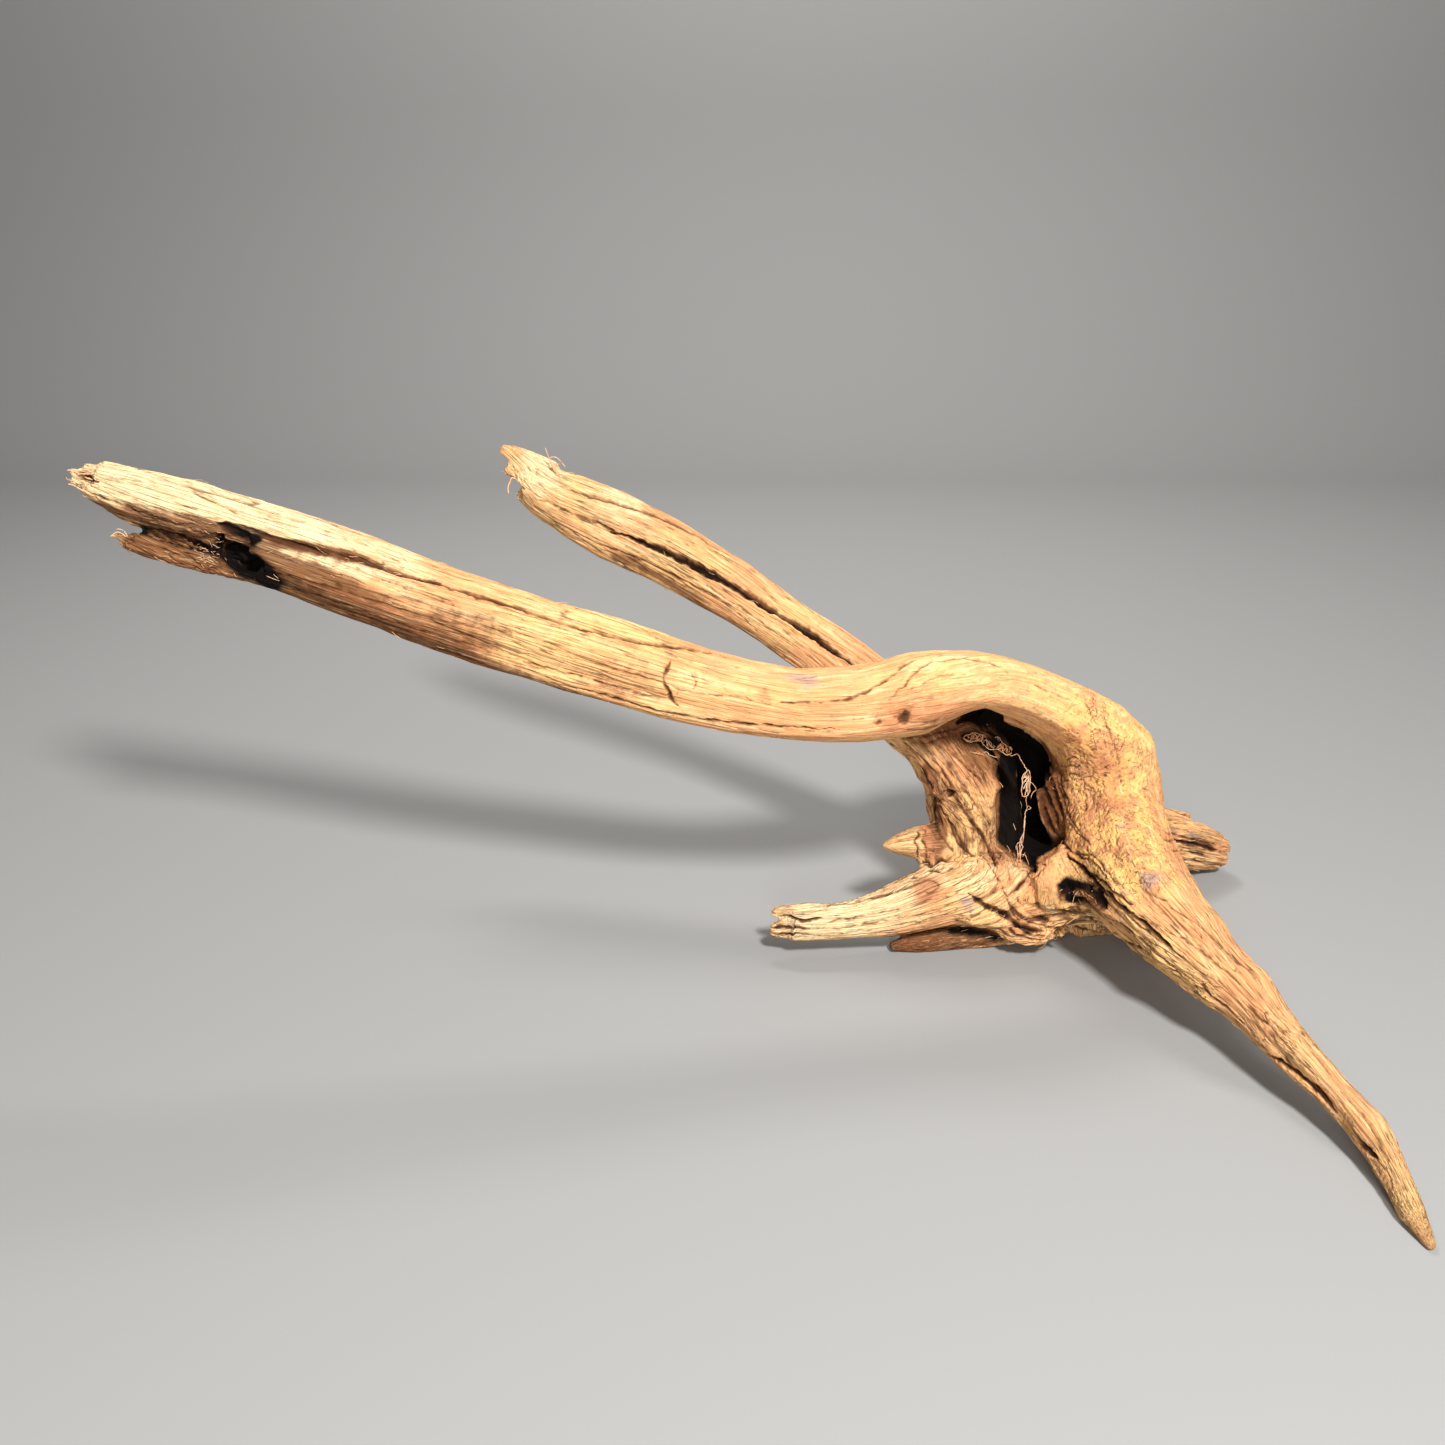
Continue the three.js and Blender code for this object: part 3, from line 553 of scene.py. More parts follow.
# Rougher and smoother regions: (pixel, reach, how much rougher)
ROUGH = [
    ((995, 800), 15, -0.6), ((930, 790), 12, 0.4), ((915, 838), 10, 0.5), ((958, 800), 12, 0.3),
    ((1000, 905), 22, 0.7), ((1090, 700), 20, 0.25), ((975, 815), 12, -0.4), ((1052, 800), 9, 0.7),
    ((1058, 825), 9, 0.7), ((1090, 890), 22, 0.7), ((200, 545), 16, 0.6), ((940, 890), 20, -0.1),
    ((1130, 940), 24, 0.3),
]
# Pitted wood: (pixel, reach, strength)
PITTED = [
    ((1070, 780), 22, 1), ((1062, 815), 14, 0.8), ((1095, 810), 26, 0.9), ((1130, 760), 30, 0.7),
    ((1125, 820), 30, 0.8), ((1110, 860), 26, 0.8), ((1090, 720), 24, 0.7), ((1145, 880), 20, 0.6),
    ((1030, 700), 20, 0.3), ((1060, 900), 14, 0.5),
]
# Stains, painted shade and painted light on the wood: (pixel, reach, strength)
STAINS_AND_PAINTED_LIGHT = {
    # Painted shade: black where the hollow, the arch's underside, the limb's cavity and the rear
    # limb's notch lie in shadow
    "painted_shade": [
        ((248, 562), 8, 1.5), ((1022, 742), 6, 1.4), ((1035, 747), 7, 1.4), ((1035, 790), 13, 1.5),
        ((1040, 820), 13, 1.5), ((1038, 848), 10, 1.5), ((985, 712), 7, 0.6), ((515, 485), 6, 0.8),
        ((240, 561), 5, 1.2),
    ],
    # Brown: the wood's own stain on the wall and in places on the limb, and painted shade on the
    # undersides of the limbs and the under root, under the arch and along the web's edge
    "brown": [
        ((88, 500), 7, 1.4), ((105, 508), 9, 1.6), ((130, 514), 9, 1.7), ((155, 521), 9, 1.7),
        ((180, 527), 10, 1.6), ((205, 531), 11, 1.5), ((225, 536), 9, 1.2), ((135, 545), 12, 1.4),
        ((165, 555), 12, 1.4), ((262, 564), 9, 1.6), ((276, 562), 8, 1.4), ((200, 568), 14, 1.1),
        ((240, 585), 16, 1.2), ((285, 575), 12, 1.3), ((310, 572), 10, 1.1), ((300, 595), 14, 1.2),
        ((330, 590), 16, 1), ((340, 612), 14, 1.1), ((375, 618), 16, 0.9), ((390, 632), 14, 1),
        ((430, 638), 16, 1), ((455, 655), 14, 0.8), ((485, 640), 14, 0.6), ((520, 675), 16, 0.5),
        ((600, 702), 18, 0.4), ((700, 722), 18, 0.35), ((800, 732), 18, 0.35),
        ((300, 547), 7, 0.5), ((350, 560), 7, 0.5), ((900, 945), 16, 1.5), ((940, 945), 16, 1.5),
        ((1000, 780), 9, 0.6), ((1000, 805), 9, 0.7), ((998, 830), 9, 0.6), ((995, 855), 9, 0.4),
        ((960, 745), 12, 0.8), ((985, 752), 12, 0.9), ((930, 727), 8, 0.8), ((960, 722), 8, 0.9),
        ((985, 724), 8, 0.9), ((1085, 893), 9, 0.6), ((945, 800), 16, 0.45),
        ((960, 830), 14, 0.35),
    ],
    "ruddy": [
        ((1108, 760), 14, 0.8), ((1112, 800), 14, 0.7), ((1070, 740), 14, 0.5),
        ((985, 780), 14, 0.8), ((1000, 820), 12, 0.8), ((960, 770), 12, 0.5), ((925, 890), 8, 0.8),
        ((1048, 890), 10, 0.5), ((965, 710), 12, 0.6), ((640, 680), 26, 0.35),
        ((900, 718), 14, 0.9), ((940, 712), 12, 0.8), ((1270, 1038), 8, 0.6), ((928, 887), 7, 0.9),
        ((900, 832), 9, 0.5), ((1420, 1230), 12, 0.5), ((1180, 855), 14, 0.6),
        ((950, 730), 14, 0.8), ((600, 690), 26, 0.4), ((330, 585), 24, 0.4), ((160, 545), 16, 0.5),
        ((900, 940), 20, 0.8), ((85, 476), 6, 0.8), ((765, 695), 5, 0.8),
    ],
    "lilac": [
        ((808, 680), 8, 0.9), ((792, 676), 6, 0.6), ((968, 904), 7, 1), ((1150, 880), 7, 1),
        ((1105, 870), 6, 0.8), ((1124, 893), 5, 0.7), ((1120, 826), 5, 0.7), ((1120, 918), 8, 0.5),
        ((1150, 930), 9, 0.5), ((1225, 985), 9, 0.3), ((1172, 832), 8, 0.9), ((1195, 838), 8, 0.9),
        ((535, 483), 6, 0.5), ((990, 780), 7, 0.5), ((330, 558), 9, 0.5), ((475, 635), 8, 0.5),
        ((620, 560), 10, 0.3), ((1240, 962), 5, 0.5),
    ],
    # Pale: bleached wood in most places. The spots on the base below the knot hole and on the back
    # root's face are painted light on faces that lie in shade.
    "pale": [
        ((76, 470), 9, 1), ((120, 475), 24, 1), ((800, 925), 20, 0.8), ((850, 915), 22, 0.8),
        ((900, 905), 18, 0.6), ((180, 490), 24, 1), ((250, 510), 24, 1), ((320, 530), 22, 0.9),
        ((400, 555), 20, 0.7), ((205, 548), 7, 0.6), ((930, 870), 14, 0.5), ((980, 880), 14, 0.5),
        ((540, 470), 20, 1), ((620, 500), 24, 0.7), ((960, 655), 20, 0.4), ((780, 905), 12, 0.4),
        ((1020, 870), 8, 0.4), ((1078, 894), 2.6, 1), ((1052, 912), 8, 0.6), ((1086, 916), 8, 0.4),
        ((1190, 858), 8, 0.5), ((1210, 860), 8, 0.5),
    ],
}
# Stains, painted shade and painted light along lines: (kind, reach, strength, how far behind the
# surface, pixels along it)
STAIN_AND_PAINTED_LIGHT_LINES = {
    # Lines that paint black are painted shade: in the hollow, under the arch and the lace, in the
    # limb's cavity and slot, in the knot hole, under the left root and along the limb's underside.
    # Most brown lines are painted shade on undersides and in recesses, while the wall tone tints
    # the wood itself.
    "body tongue": ("pale", 2.8, 1.8, 0, [(259, 547), (276, 550), (300, 556), (330, 563),
        (365, 571)]),
    "prong dusk": ("brown", 7, 1.8, 0, [(215, 572), (235, 577), (255, 582), (275, 588)]),
    "limb shade": ("painted_shade", 8, 0.55, 0, [(285, 582), (320, 598), (355, 613), (390, 627), (430, 643),
        (470, 658)]),
    "cavity foot": ("painted_shade", 5, 0.7, 0, [(255, 574), (266, 584), (276, 592)]),
    "hole shade": ("painted_shade", 3, 1.4, 0, [(1063, 887), (1067, 892), (1070, 897)]),
    "hole side": ("painted_shade", 3.2, 1.2, 0, [(1068, 882), (1086, 887), (1094, 893), (1100, 900),
        (1104, 905)]),
    "hole foot": ("painted_shade", 2.6, 1.2, 0, [(1074, 899), (1082, 899), (1090, 902)]),
    "hole dusk": ("brown", 6, 1.7, 0, [(1068, 894), (1084, 897), (1098, 903)]),
    "snag bark": ("ruddy", 5, 1.2, 0, [(926, 828), (931, 840), (930, 856)]),
    "snag shade": ("brown", 4, 1, 0, [(936, 826), (940, 840), (938, 858)]),
    "under shade": ("painted_shade", 4, 1, 0, [(952, 930), (968, 931), (985, 934), (1002, 941)]),
    "under dusk": ("brown", 8, 1.6, 0, [(950, 936), (970, 938), (988, 940)]),
    "wall edge": ("brown", 4, 1.4, 0, [(926, 770), (932, 784), (935, 797), (936, 812),
        (940, 828)]),
    "wall rim": ("painted_shade", 2.2, 0.9, 0, [(924, 770), (930, 784), (934, 798), (935, 813),
        (938, 830)]),
    "wall tone": ("brown", 12, 0.2, 0, [(915, 752), (935, 780), (952, 810), (965, 840)]),
    "web rim": ("painted_shade", 5, 0.9, 0, [(1010, 783), (1009, 800), (1008, 820), (1007, 840)]),
    "rim dusk": ("brown", 7, 1.8, 0, [(1042, 786), (1044, 802), (1048, 818), (1054, 832)]),
    "wall shade": ("painted_shade", 3.4, 0.9, 0, [(1005, 790), (1005, 805), (1005, 820), (1004, 838)]),
    "web shade": ("painted_shade", 4.8, 1.5, 0, [(1018, 752), (1018, 780), (1019, 800), (1018, 815),
        (1015, 830)]),
    "tongue shade": ("painted_shade", 3.4, 1.4, 0, [(1005, 760), (1010, 774), (1015, 786)]),
    "lace shade": ("painted_shade", 4.4, 1.1, 0, [(966, 738), (978, 738), (988, 742), (1000, 746),
        (1010, 752)]),
    "lace shade two": ("painted_shade", 4, 1.2, 3, [(1003, 728), (1010, 736), (1014, 746), (1014, 757)]),
    "lace dusk": ("brown", 6, 1.4, 0, [(952, 730), (966, 730), (980, 730), (994, 734)]),
    "notch shade": ("painted_shade", 3, 1.2, 0, [(1028, 854), (1031, 862), (1034, 869)]),
    "wall blush": ("brown", 9, 0.45, 0, [(980, 765), (988, 790), (990, 820), (990, 845),
        (1000, 862)]),
    "web dusk": ("brown", 7, 1.5, 0, [(989, 748), (1000, 765), (1004, 790), (1005, 820),
        (1006, 850)]),
    "chamber side": ("painted_shade", 6.5, 2, 11, [(1010, 765), (1013, 800), (1013, 845)]),
    "arch shade": ("painted_shade", 8, 1.6, 4, [(975, 712), (995, 720), (1015, 730), (1035, 745),
        (1048, 765)]),
    "chamber": ("painted_shade", 10, 2.4, 4, [(1025, 765), (1034, 790), (1036, 820), (1034, 850)]),
    "recess": ("brown", 7, 1.2, 0, [(925, 735), (950, 727), (975, 724), (1000, 730)]),
    "right rim": ("brown", 6.5, 1.3, 0, [(1046, 748), (1056, 768), (1060, 790), (1061, 815),
        (1057, 842)]),
    "slot shade": ("painted_shade", 3.5, 1.2, 0, [(118, 522), (140, 529), (165, 536), (190, 543),
        (212, 549)]),
    "cavity shade": ("painted_shade", 6, 2, 0, [(234, 550), (246, 558), (258, 568), (266, 578)]),
    "cavity roof": ("painted_shade", 3.5, 1.2, 0, [(228, 529), (240, 534), (254, 540)]),
    "cavity dusk": ("brown", 9, 1.8, 0, [(205, 548), (222, 545), (240, 545), (256, 552)]),
    "cavity side": ("brown", 7, 1.5, 0, [(212, 562), (230, 570), (248, 578), (264, 584)]),
    "groove shade": ("painted_shade", 2.4, 0.9, 0, [(238, 533), (250, 538), (260, 541)]),
    "groove dusk": ("brown", 3, 1.6, 0, [(268, 540), (300, 545), (340, 553), (380, 564)]),
    "rear under": ("brown", 6, 1, 0, [(615, 556), (640, 566), (690, 596), (735, 628), (775, 652)]),
    "low shade": ("brown", 3.4, 1.1, 0, [(300, 602), (350, 621), (400, 639), (450, 654),
        (500, 671), (560, 689), (620, 705)]),
}
MARK_STEP = 4  # pixels between the points of a mark
MARK_EDGE = 2.5  # a soft line is felt this many reaches away
MARK_WANDER = 0.8  # how far a crack strays from its line
FINE_CRACK = 2.5  # a crack that is narrower than this is more uneven


def on_wood(tree, pixel):
    """The place on the wood that a pixel of the photograph shows, or None."""
    place = tree.ray_cast(Vector(CAMERA_PLACE * MM), photo_ray(pixel))[0]
    return None if place is None else np.array(place) / MM


def spots_on_wood(tree, spots):
    found = []
    for pixel, reach, strength in spots:
        place = on_wood(tree, pixel)
        if place is not None:
            found.append([*place, reach, strength])
    return found


def stain_and_painted_light_field(kind, places, tree):
    """How strongly each place takes one of the kinds of stain, painted shade and painted light."""
    total = soft_field(places, spots_on_wood(tree, STAINS_AND_PAINTED_LIGHT[kind]))
    for line_kind, reach, strength, behind, pixels in STAIN_AND_PAINTED_LIGHT_LINES.values():
        if line_kind != kind:
            continue
        line = line_on_wood(tree, pixels, MARK_STEP) + np.array([0, behind, 0])
        near, distance, _ = near_line(places, line, MARK_EDGE * reach)
        total[near] += strength * np.exp(-(distance / reach) ** 2)
    return total


def line_on_wood(tree, pixels, step):
    places = [on_wood(tree, pixel) for pixel in curve_through(pixels, step)]
    return np.array([place for place in places if place is not None]).reshape(-1, 3)


def near_line(places, line, reach):
    """The places near a line, how far each is from it, and how near to the line's end."""
    near = ((places > line.min(0) - reach) & (places < line.max(0) + reach)).all(1)
    near = np.nonzero(near)[0]
    steps = np.diff(line, axis=0)
    gap = places[near][:, None] - line[:-1][None]
    share = np.clip((gap * steps).sum(2) / (steps ** 2).sum(1), 0, 1)
    distance = np.linalg.norm(gap - share[..., None] * steps, axis=2)
    nearest = distance.argmin(1)
    rows = np.arange(len(near))
    along = (nearest + share[rows, nearest]) / len(steps)
    return near, distance[rows, nearest], np.minimum(along, 1 - along)


def cut_marks(places, tree):
    """How deep the marks read off the photograph are at each place, and how near their middle."""
    depth = np.zeros(len(places))
    lined = np.zeros(len(places))
    wander = np.stack([noise(places / 6, seed) + 0.5 * noise(places / 2.5, seed + 5)
                       for seed in (901, 902, 903)], 1)
    wavy = places + MARK_WANDER * wander
    for seed, (width, deep, pixels) in enumerate(CRACKS.values()):
        line = line_on_wood(tree, pixels, MARK_STEP)
        if len(line) < 2:
            continue
        near, distance, to_end = near_line(wavy, line, width)
        unevenness = 0.55 if width < FINE_CRACK else 0.35
        opening = np.clip(1 + unevenness * noise(places[near] / 7, seed), 0.2, 1.4)
        half = 0.5 * width * opening * np.clip(0.2 + 4 * to_end, 0, 1)
        cut = np.clip(1 - distance / half, 0, 1) ** 0.8
        depth[near] = np.maximum(depth[near], deep * cut * np.clip(opening, 0, 1))
        lined[near] = np.maximum(lined[near], cut * np.clip(opening, 0, 1))
    for pixel, radius, deep in HOLLOWS.values():
        middle = on_wood(tree, pixel)
        if middle is None:
            continue
        distance = np.linalg.norm(places + 2 * wander - middle, axis=1) / radius
        depth += deep * np.clip(1 - distance ** 2, 0, 1) ** 1.2
    return depth, lined


def pock_marks(places):
    """Weathering that follows no grain: small lumps, and pits and short bent cracks in them."""
    height = 0.4 * noise(places / 5, 921) + 0.2 * noise(places / 2.2, 922)
    pit = step_between(0.35, 0.6, noise(places / np.array([2, 2, 3.2]), 923))
    bend = np.abs(noise(places / 5.5, 924))
    crack = step_between(0.12, 0.02, bend) * step_between(0, 0.3, noise(places / 9, 925))
    return height, 1.1 * pit + 0.9 * crack


# The features of the grain: how wide they are across the fibres, and how long along them
FLUTES = (11, 150)
RIDGES = (8, 95)
SPLITS = (7, 80)
SPLIT_PATCHES = (20, 60)
FLAKES = (5, 15)
RIBS = (3.2, 60)
CHECKS = (3, 45)
CHECK_PATCHES = (10, 36)
CHIPS = (2.4, 5)
THREADS = (1.8, 24)
WAVES = (15, 34)  # the long swells of rough wood
DRIFT = (26, 60)  # the fibres wander sideways over these distances
DRIFT_WIDTH = 2.6


def stretch(grain, across, along):
    return grain / np.array([across, across, along])


def crest(values, width, sharpness):
    """1 where the values pass through zero, and 0 where they are more than the width away."""
    return 1 - np.clip(np.abs(values) / width, 0, 1) ** sharpness


def line_gap(grain, across, along, seed):
    """How far each place is from the nearest of many long wavering lines."""
    step = 0.3  # to the places beside, where the slope of the noise is measured
    here = noise(stretch(grain, across, along), seed)
    right = noise(stretch(grain + [step, 0, 0], across, along), seed) - here
    above = noise(stretch(grain + [0, step, 0], across, along), seed) - here
    slope = np.hypot(right, above) / step
    return np.abs(here) / np.maximum(slope, 0.5 / across)


def fibre_relief(grain, rough, pitted, seed):
    """The weathered grain in one set of grain coordinates: a height, and a depth below it."""
    drift = np.stack([noise(stretch(grain, *DRIFT), seed + k) for k in (1, 2)], 1)
    grain = grain.copy()
    grain[:, :2] += DRIFT_WIDTH * drift
    flute = noise(stretch(grain, *FLUTES), seed + 3)
    thread = noise(stretch(grain, *THREADS), seed + 5)
    flake = noise(stretch(grain, *FLAKES), seed + 11)
    chip = noise(stretch(grain, *CHIPS), seed + 13)
    wave = noise(stretch(grain, *WAVES), seed + 14)
    rib = crest(noise(stretch(grain, *RIBS), seed + 4), 0.4, 0.7)
    ridge = crest(noise(stretch(grain, *RIDGES), seed + 12), 0.3, 0.6)
    split = step_between(0.7, 0.1, line_gap(grain, *SPLITS, seed + 6))
    split *= step_between(0, 0.3, noise(stretch(grain, *SPLIT_PATCHES), seed + 7))
    check = step_between(0.5, 0.1, line_gap(grain, *CHECKS, seed + 8))
    check *= step_between(0, 0.3, noise(stretch(grain, *CHECK_PATCHES), seed + 9))
    height = 0.4 * flute + (0.1 + 0.2 * rough) * thread + 0.32 * rough ** 2 * flake
    height += 0.14 * rough ** 2 * chip + 1.1 * rough ** 2 * wave
    sunk = 0.7 * rough * rib + 0.9 * rough ** 2 * ridge + 1.4 * rough * split
    sunk += 0.9 * rough ** 0.5 * check
    return height, sunk * (1 - 0.75 * pitted)


def bend_edges(skin):
    """Moves whole edges of the wood, both sides of them alike."""
    tree = BVHTree.FromObject(skin, bpy.context.evaluated_depsgraph_get())
    places = places_of(skin.data)
    moves = np.zeros_like(places)
    for reach, way, pixels in BENDS.values():
        line = line_on_wood(tree, pixels, 2 * MARK_STEP)
        near, distance, _ = near_line(places, line, MARK_EDGE * reach)
        moves[near] += np.exp(-(distance / reach) ** 2)[:, None] * np.array(way)
    set_places(skin.data, places + moves)


def weather(skin):
    """Cuts the weathered surface into the skin and keeps what the colours need."""
    bend_edges(skin)
    radius = measure_grain(places_of(skin.data))[2]
    round_facets(skin, radius)
    places = places_of(skin.data)
    tree = BVHTree.FromObject(skin, bpy.context.evaluated_depsgraph_get())
    grain, share, radius, rough = measure_grain(places)
    rough = np.clip(rough + soft_field(places, spots_on_wood(tree, ROUGH)), 0.08, 1.5)
    pitted = np.clip(soft_field(places, spots_on_wood(tree, PITTED)), 0, 1)
    height = np.zeros(len(places))
    sunk = np.zeros(len(places))
    for seed, set_name in enumerate(GRAIN_SETS):
        part = share[set_name] > LEAST_SHARE
        weight = share[set_name][part]
        found = fibre_relief(grain[set_name][part], rough[part], pitted[part], 100 * seed)
        height[part] += weight * found[0]
        sunk[part] += weight * found[1]
    pocked = np.nonzero(pitted > LEAST_SHARE)[0]
    lumps, pocks = pock_marks(places[pocked])
    height[pocked] += pitted[pocked] * lumps
    sunk[pocked] += pitted[pocked] * pocks
    sturdy = np.clip(radius / STURDY_RADIUS, 0.25, 1)
    height = height * sturdy + soft_field(places, spots_on_wood(tree, SWELLINGS.values()))
    depth, lined = cut_marks(places, tree)
    sunk = sunk * sturdy + depth
    places = places + normals_of(skin.data) * (height - sunk)[:, None]
    places = within_box(places)
    set_places(skin.data, places)
    for name in GRAIN_SETS:
        add_vectors(skin.data, "grain_" + name, grain[name])
        add_numbers(skin.data, "share_" + name, share[name])
    add_numbers(skin.data, "sunk", sunk)
    add_numbers(skin.data, "lined", lined)
    add_numbers(skin.data, "pitted", pitted)
    add_numbers(skin.data, "rough", rough)
    for kind in STAINS_AND_PAINTED_LIGHT:
        add_numbers(skin.data, kind, stain_and_painted_light_field(kind, places, tree))


def add_numbers(mesh, name, values):
    attribute = mesh.attributes.new(name, "FLOAT", "POINT")
    attribute.data.foreach_set("value", values.astype(np.float32))


def add_vectors(mesh, name, values):
    attribute = mesh.attributes.new(name, "FLOAT_VECTOR", "POINT")
    attribute.data.foreach_set("vector", values.astype(np.float32).ravel())


# The forks, as in the frame: a point on the cut and the way that the limb leaves it. The
# under root comes first, because it lies within the box of the left root.
FORKS = {
    "under_root": ([-47, -27, 6.5], [-1, -0.14, -0.1]),
    "left_root": ([-82, -30.5, 27], [-1, -0.12, -0.22]),
    "front_limb": ([-104, -47.5, 158], [-1, -0.2, 0]),
    "rear_limb": ([-94, 26, 139], [-0.76, 0.42, 0.5]),
    "front_root": ([46, -95, 59], [0.48, -0.78, -0.38]),
    "back_root": ([86, 57, 30], [0.83, 0.38, -0.35]),
}
FORK_REACH = 45  # the cut is made only this near to its point
BOX_MARGIN = 4  # how far past its solid's box a limb still owns the skin
CUT_BAND = 3  # voxels to each side of a fork in which faces are split
TRIANGLES = {  # the most that each piece may keep
    "trunk": 196000, "front_limb": 190000, "rear_limb": 150000, "front_root": 110000,
    "left_root": 60000, "back_root": 60000, "under_root": 30000,
}


def cut_at_forks(mesh):
    """Splits the faces that cross a fork, so that the pieces meet without a seam."""
    cutter = bmesh.new()
    cutter.from_mesh(mesh)
    for at, leaves in FORKS.values():
        at = Vector(at) * MM
        leaves = Vector(leaves).normalized()
        near = []
        for face in cutter.faces:
            away = face.verts[0].co - at
            if abs(away.dot(leaves)) < CUT_BAND * VOXEL * MM and away.length < FORK_REACH * MM:
                near.append(face)
        edges = {edge for face in near for edge in face.edges}
        corners = {corner for face in near for corner in face.verts}
        bmesh.ops.bisect_plane(cutter, geom=near + list(edges) + list(corners), dist=1e-7,
                               plane_co=at, plane_no=leaves)
    cutter.to_mesh(mesh)
    cutter.free()


def mesh_arrays(mesh):
    corners = np.empty(len(mesh.loops), np.int32)
    mesh.loops.foreach_get("vertex_index", corners)
    totals = np.empty(len(mesh.polygons), np.int32)
    mesh.polygons.foreach_get("loop_total", totals)
    return corners, totals


def face_middles(mesh):
    values = np.empty(len(mesh.polygons) * 3, np.float32)
    mesh.polygons.foreach_get("center", values)
    return values.reshape(-1, 3) / MM


def owners(middles):
    """The name of the node that each face belongs to."""
    owner = np.full(len(middles), "trunk", dtype="<U12")
    for name, (at, leaves) in FORKS.items():
        low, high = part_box(name)
        beyond = (middles - np.array(at)) @ np.array(leaves) > 0
        inside = (middles > np.array(low) / MM - BOX_MARGIN).all(1)
        inside &= (middles < np.array(high) / MM + BOX_MARGIN).all(1)
        owner[beyond & inside & (owner == "trunk")] = name
    return owner


def part_of_mesh(mesh, keep, name):
    """A new mesh of some of the faces, with the numbers kept at their corners."""
    corners, totals = mesh_arrays(mesh)
    kept_corners = corners[np.repeat(keep, totals)]
    used, numbers = np.unique(kept_corners, return_inverse=True)
    part = bpy.data.meshes.new(name)
    part.vertices.add(len(used))
    part.vertices.foreach_set("co", (places_of(mesh)[used] * MM).astype(np.float32).ravel())
    part.loops.add(len(numbers))
    part.loops.foreach_set("vertex_index", numbers.astype(np.int32))
    part.polygons.add(int(keep.sum()))
    starts = np.concatenate([[0], np.cumsum(totals[keep])[:-1]])
    part.polygons.foreach_set("loop_start", starts.astype(np.int32))
    part.update(calc_edges=True)
    for attribute in mesh.attributes:
        if attribute.domain != "POINT" or attribute.name == "position":
            continue
        if attribute.data_type == "FLOAT":
            values = np.empty(len(mesh.vertices), np.float32)
            attribute.data.foreach_get("value", values)
            add_numbers(part, attribute.name, values[used])
        elif attribute.data_type == "FLOAT_VECTOR":
            values = np.empty(len(mesh.vertices) * 3, np.float32)
            attribute.data.foreach_get("vector", values)
            add_vectors(part, attribute.name, values.reshape(-1, 3)[used])
    return part


def largest_part(mesh):
    """The faces that hang together in the largest part of a mesh."""
    edges = np.empty(len(mesh.edges) * 2, np.int32)
    mesh.edges.foreach_get("vertices", edges)
    near, far = edges.reshape(-1, 2).T
    part = np.arange(len(mesh.vertices))
    settled = False
    while not settled:
        before = part.copy()
        lowest = np.minimum(part[near], part[far])
        np.minimum.at(part, before[near], lowest)
        np.minimum.at(part, before[far], lowest)
        part = part[part]
        settled = (part == before).all()
    corners, totals = mesh_arrays(mesh)
    part_of_face = part[corners[np.cumsum(totals) - 1]]
    return part_of_face == np.bincount(part_of_face).argmax()


def close_cuts(mesh):
    """Caps the open rims of a piece with flat faces."""
    capper = bmesh.new()
    capper.from_mesh(mesh)
    rims = [edge for edge in capper.edges if edge.is_boundary]
    caps = bmesh.ops.holes_fill(capper, edges=rims, sides=0)["faces"]
    for cap in caps:
        cap.smooth = False
        for edge in cap.edges:
            edge.smooth = False
    capper.to_mesh(mesh)
    capper.free()


def thin_out(piece, most, forks):
    """Brings a piece down to its number of triangles, and leaves the rims at its cuts."""
    totals = mesh_arrays(piece.data)[1]
    triangles = int((totals - 2).sum())
    if triangles <= most:
        return
    places = places_of(piece.data)
    free = np.ones(len(places))
    for at, leaves in forks:
        leaves = np.array(leaves, float) / np.linalg.norm(leaves)
        away = places - np.array(at)
        free[(np.abs(away @ leaves) < VOXEL) & (np.linalg.norm(away, axis=1) < FORK_REACH)] = 0
    weight_group(piece, "free", free)
    thinning = piece.modifiers.new("thinning", "DECIMATE")
    thinning.ratio = most / triangles
    thinning.vertex_group = "free"
    thinning.vertex_group_factor = 1.0
    apply_modifiers(piece)
    piece.vertex_groups.clear()


def part_the_wood(skin):
    cut_at_forks(skin.data)
    owner = owners(face_middles(skin.data))
    pieces = {}
    for name, most in TRIANGLES.items():
        whole = part_of_mesh(skin.data, owner == name, name + " whole")
        mesh = part_of_mesh(whole, largest_part(whole), name)
        bpy.data.meshes.remove(whole)
        mesh.polygons.foreach_set("use_smooth", np.ones(len(mesh.polygons), bool))
        close_cuts(mesh)
        piece = bpy.data.objects.new(name + "_wood", mesh)
        bpy.context.scene.collection.objects.link(piece)
        forks = list(FORKS.values()) if name == "trunk" else [FORKS[name]]
        thin_out(piece, most, forks)
        set_places(piece.data, within_box(places_of(piece.data)))
        pieces[name] = piece
    bpy.data.objects.remove(skin)
    return pieces


# Torn strands and loose fibres, as fine closed tubes

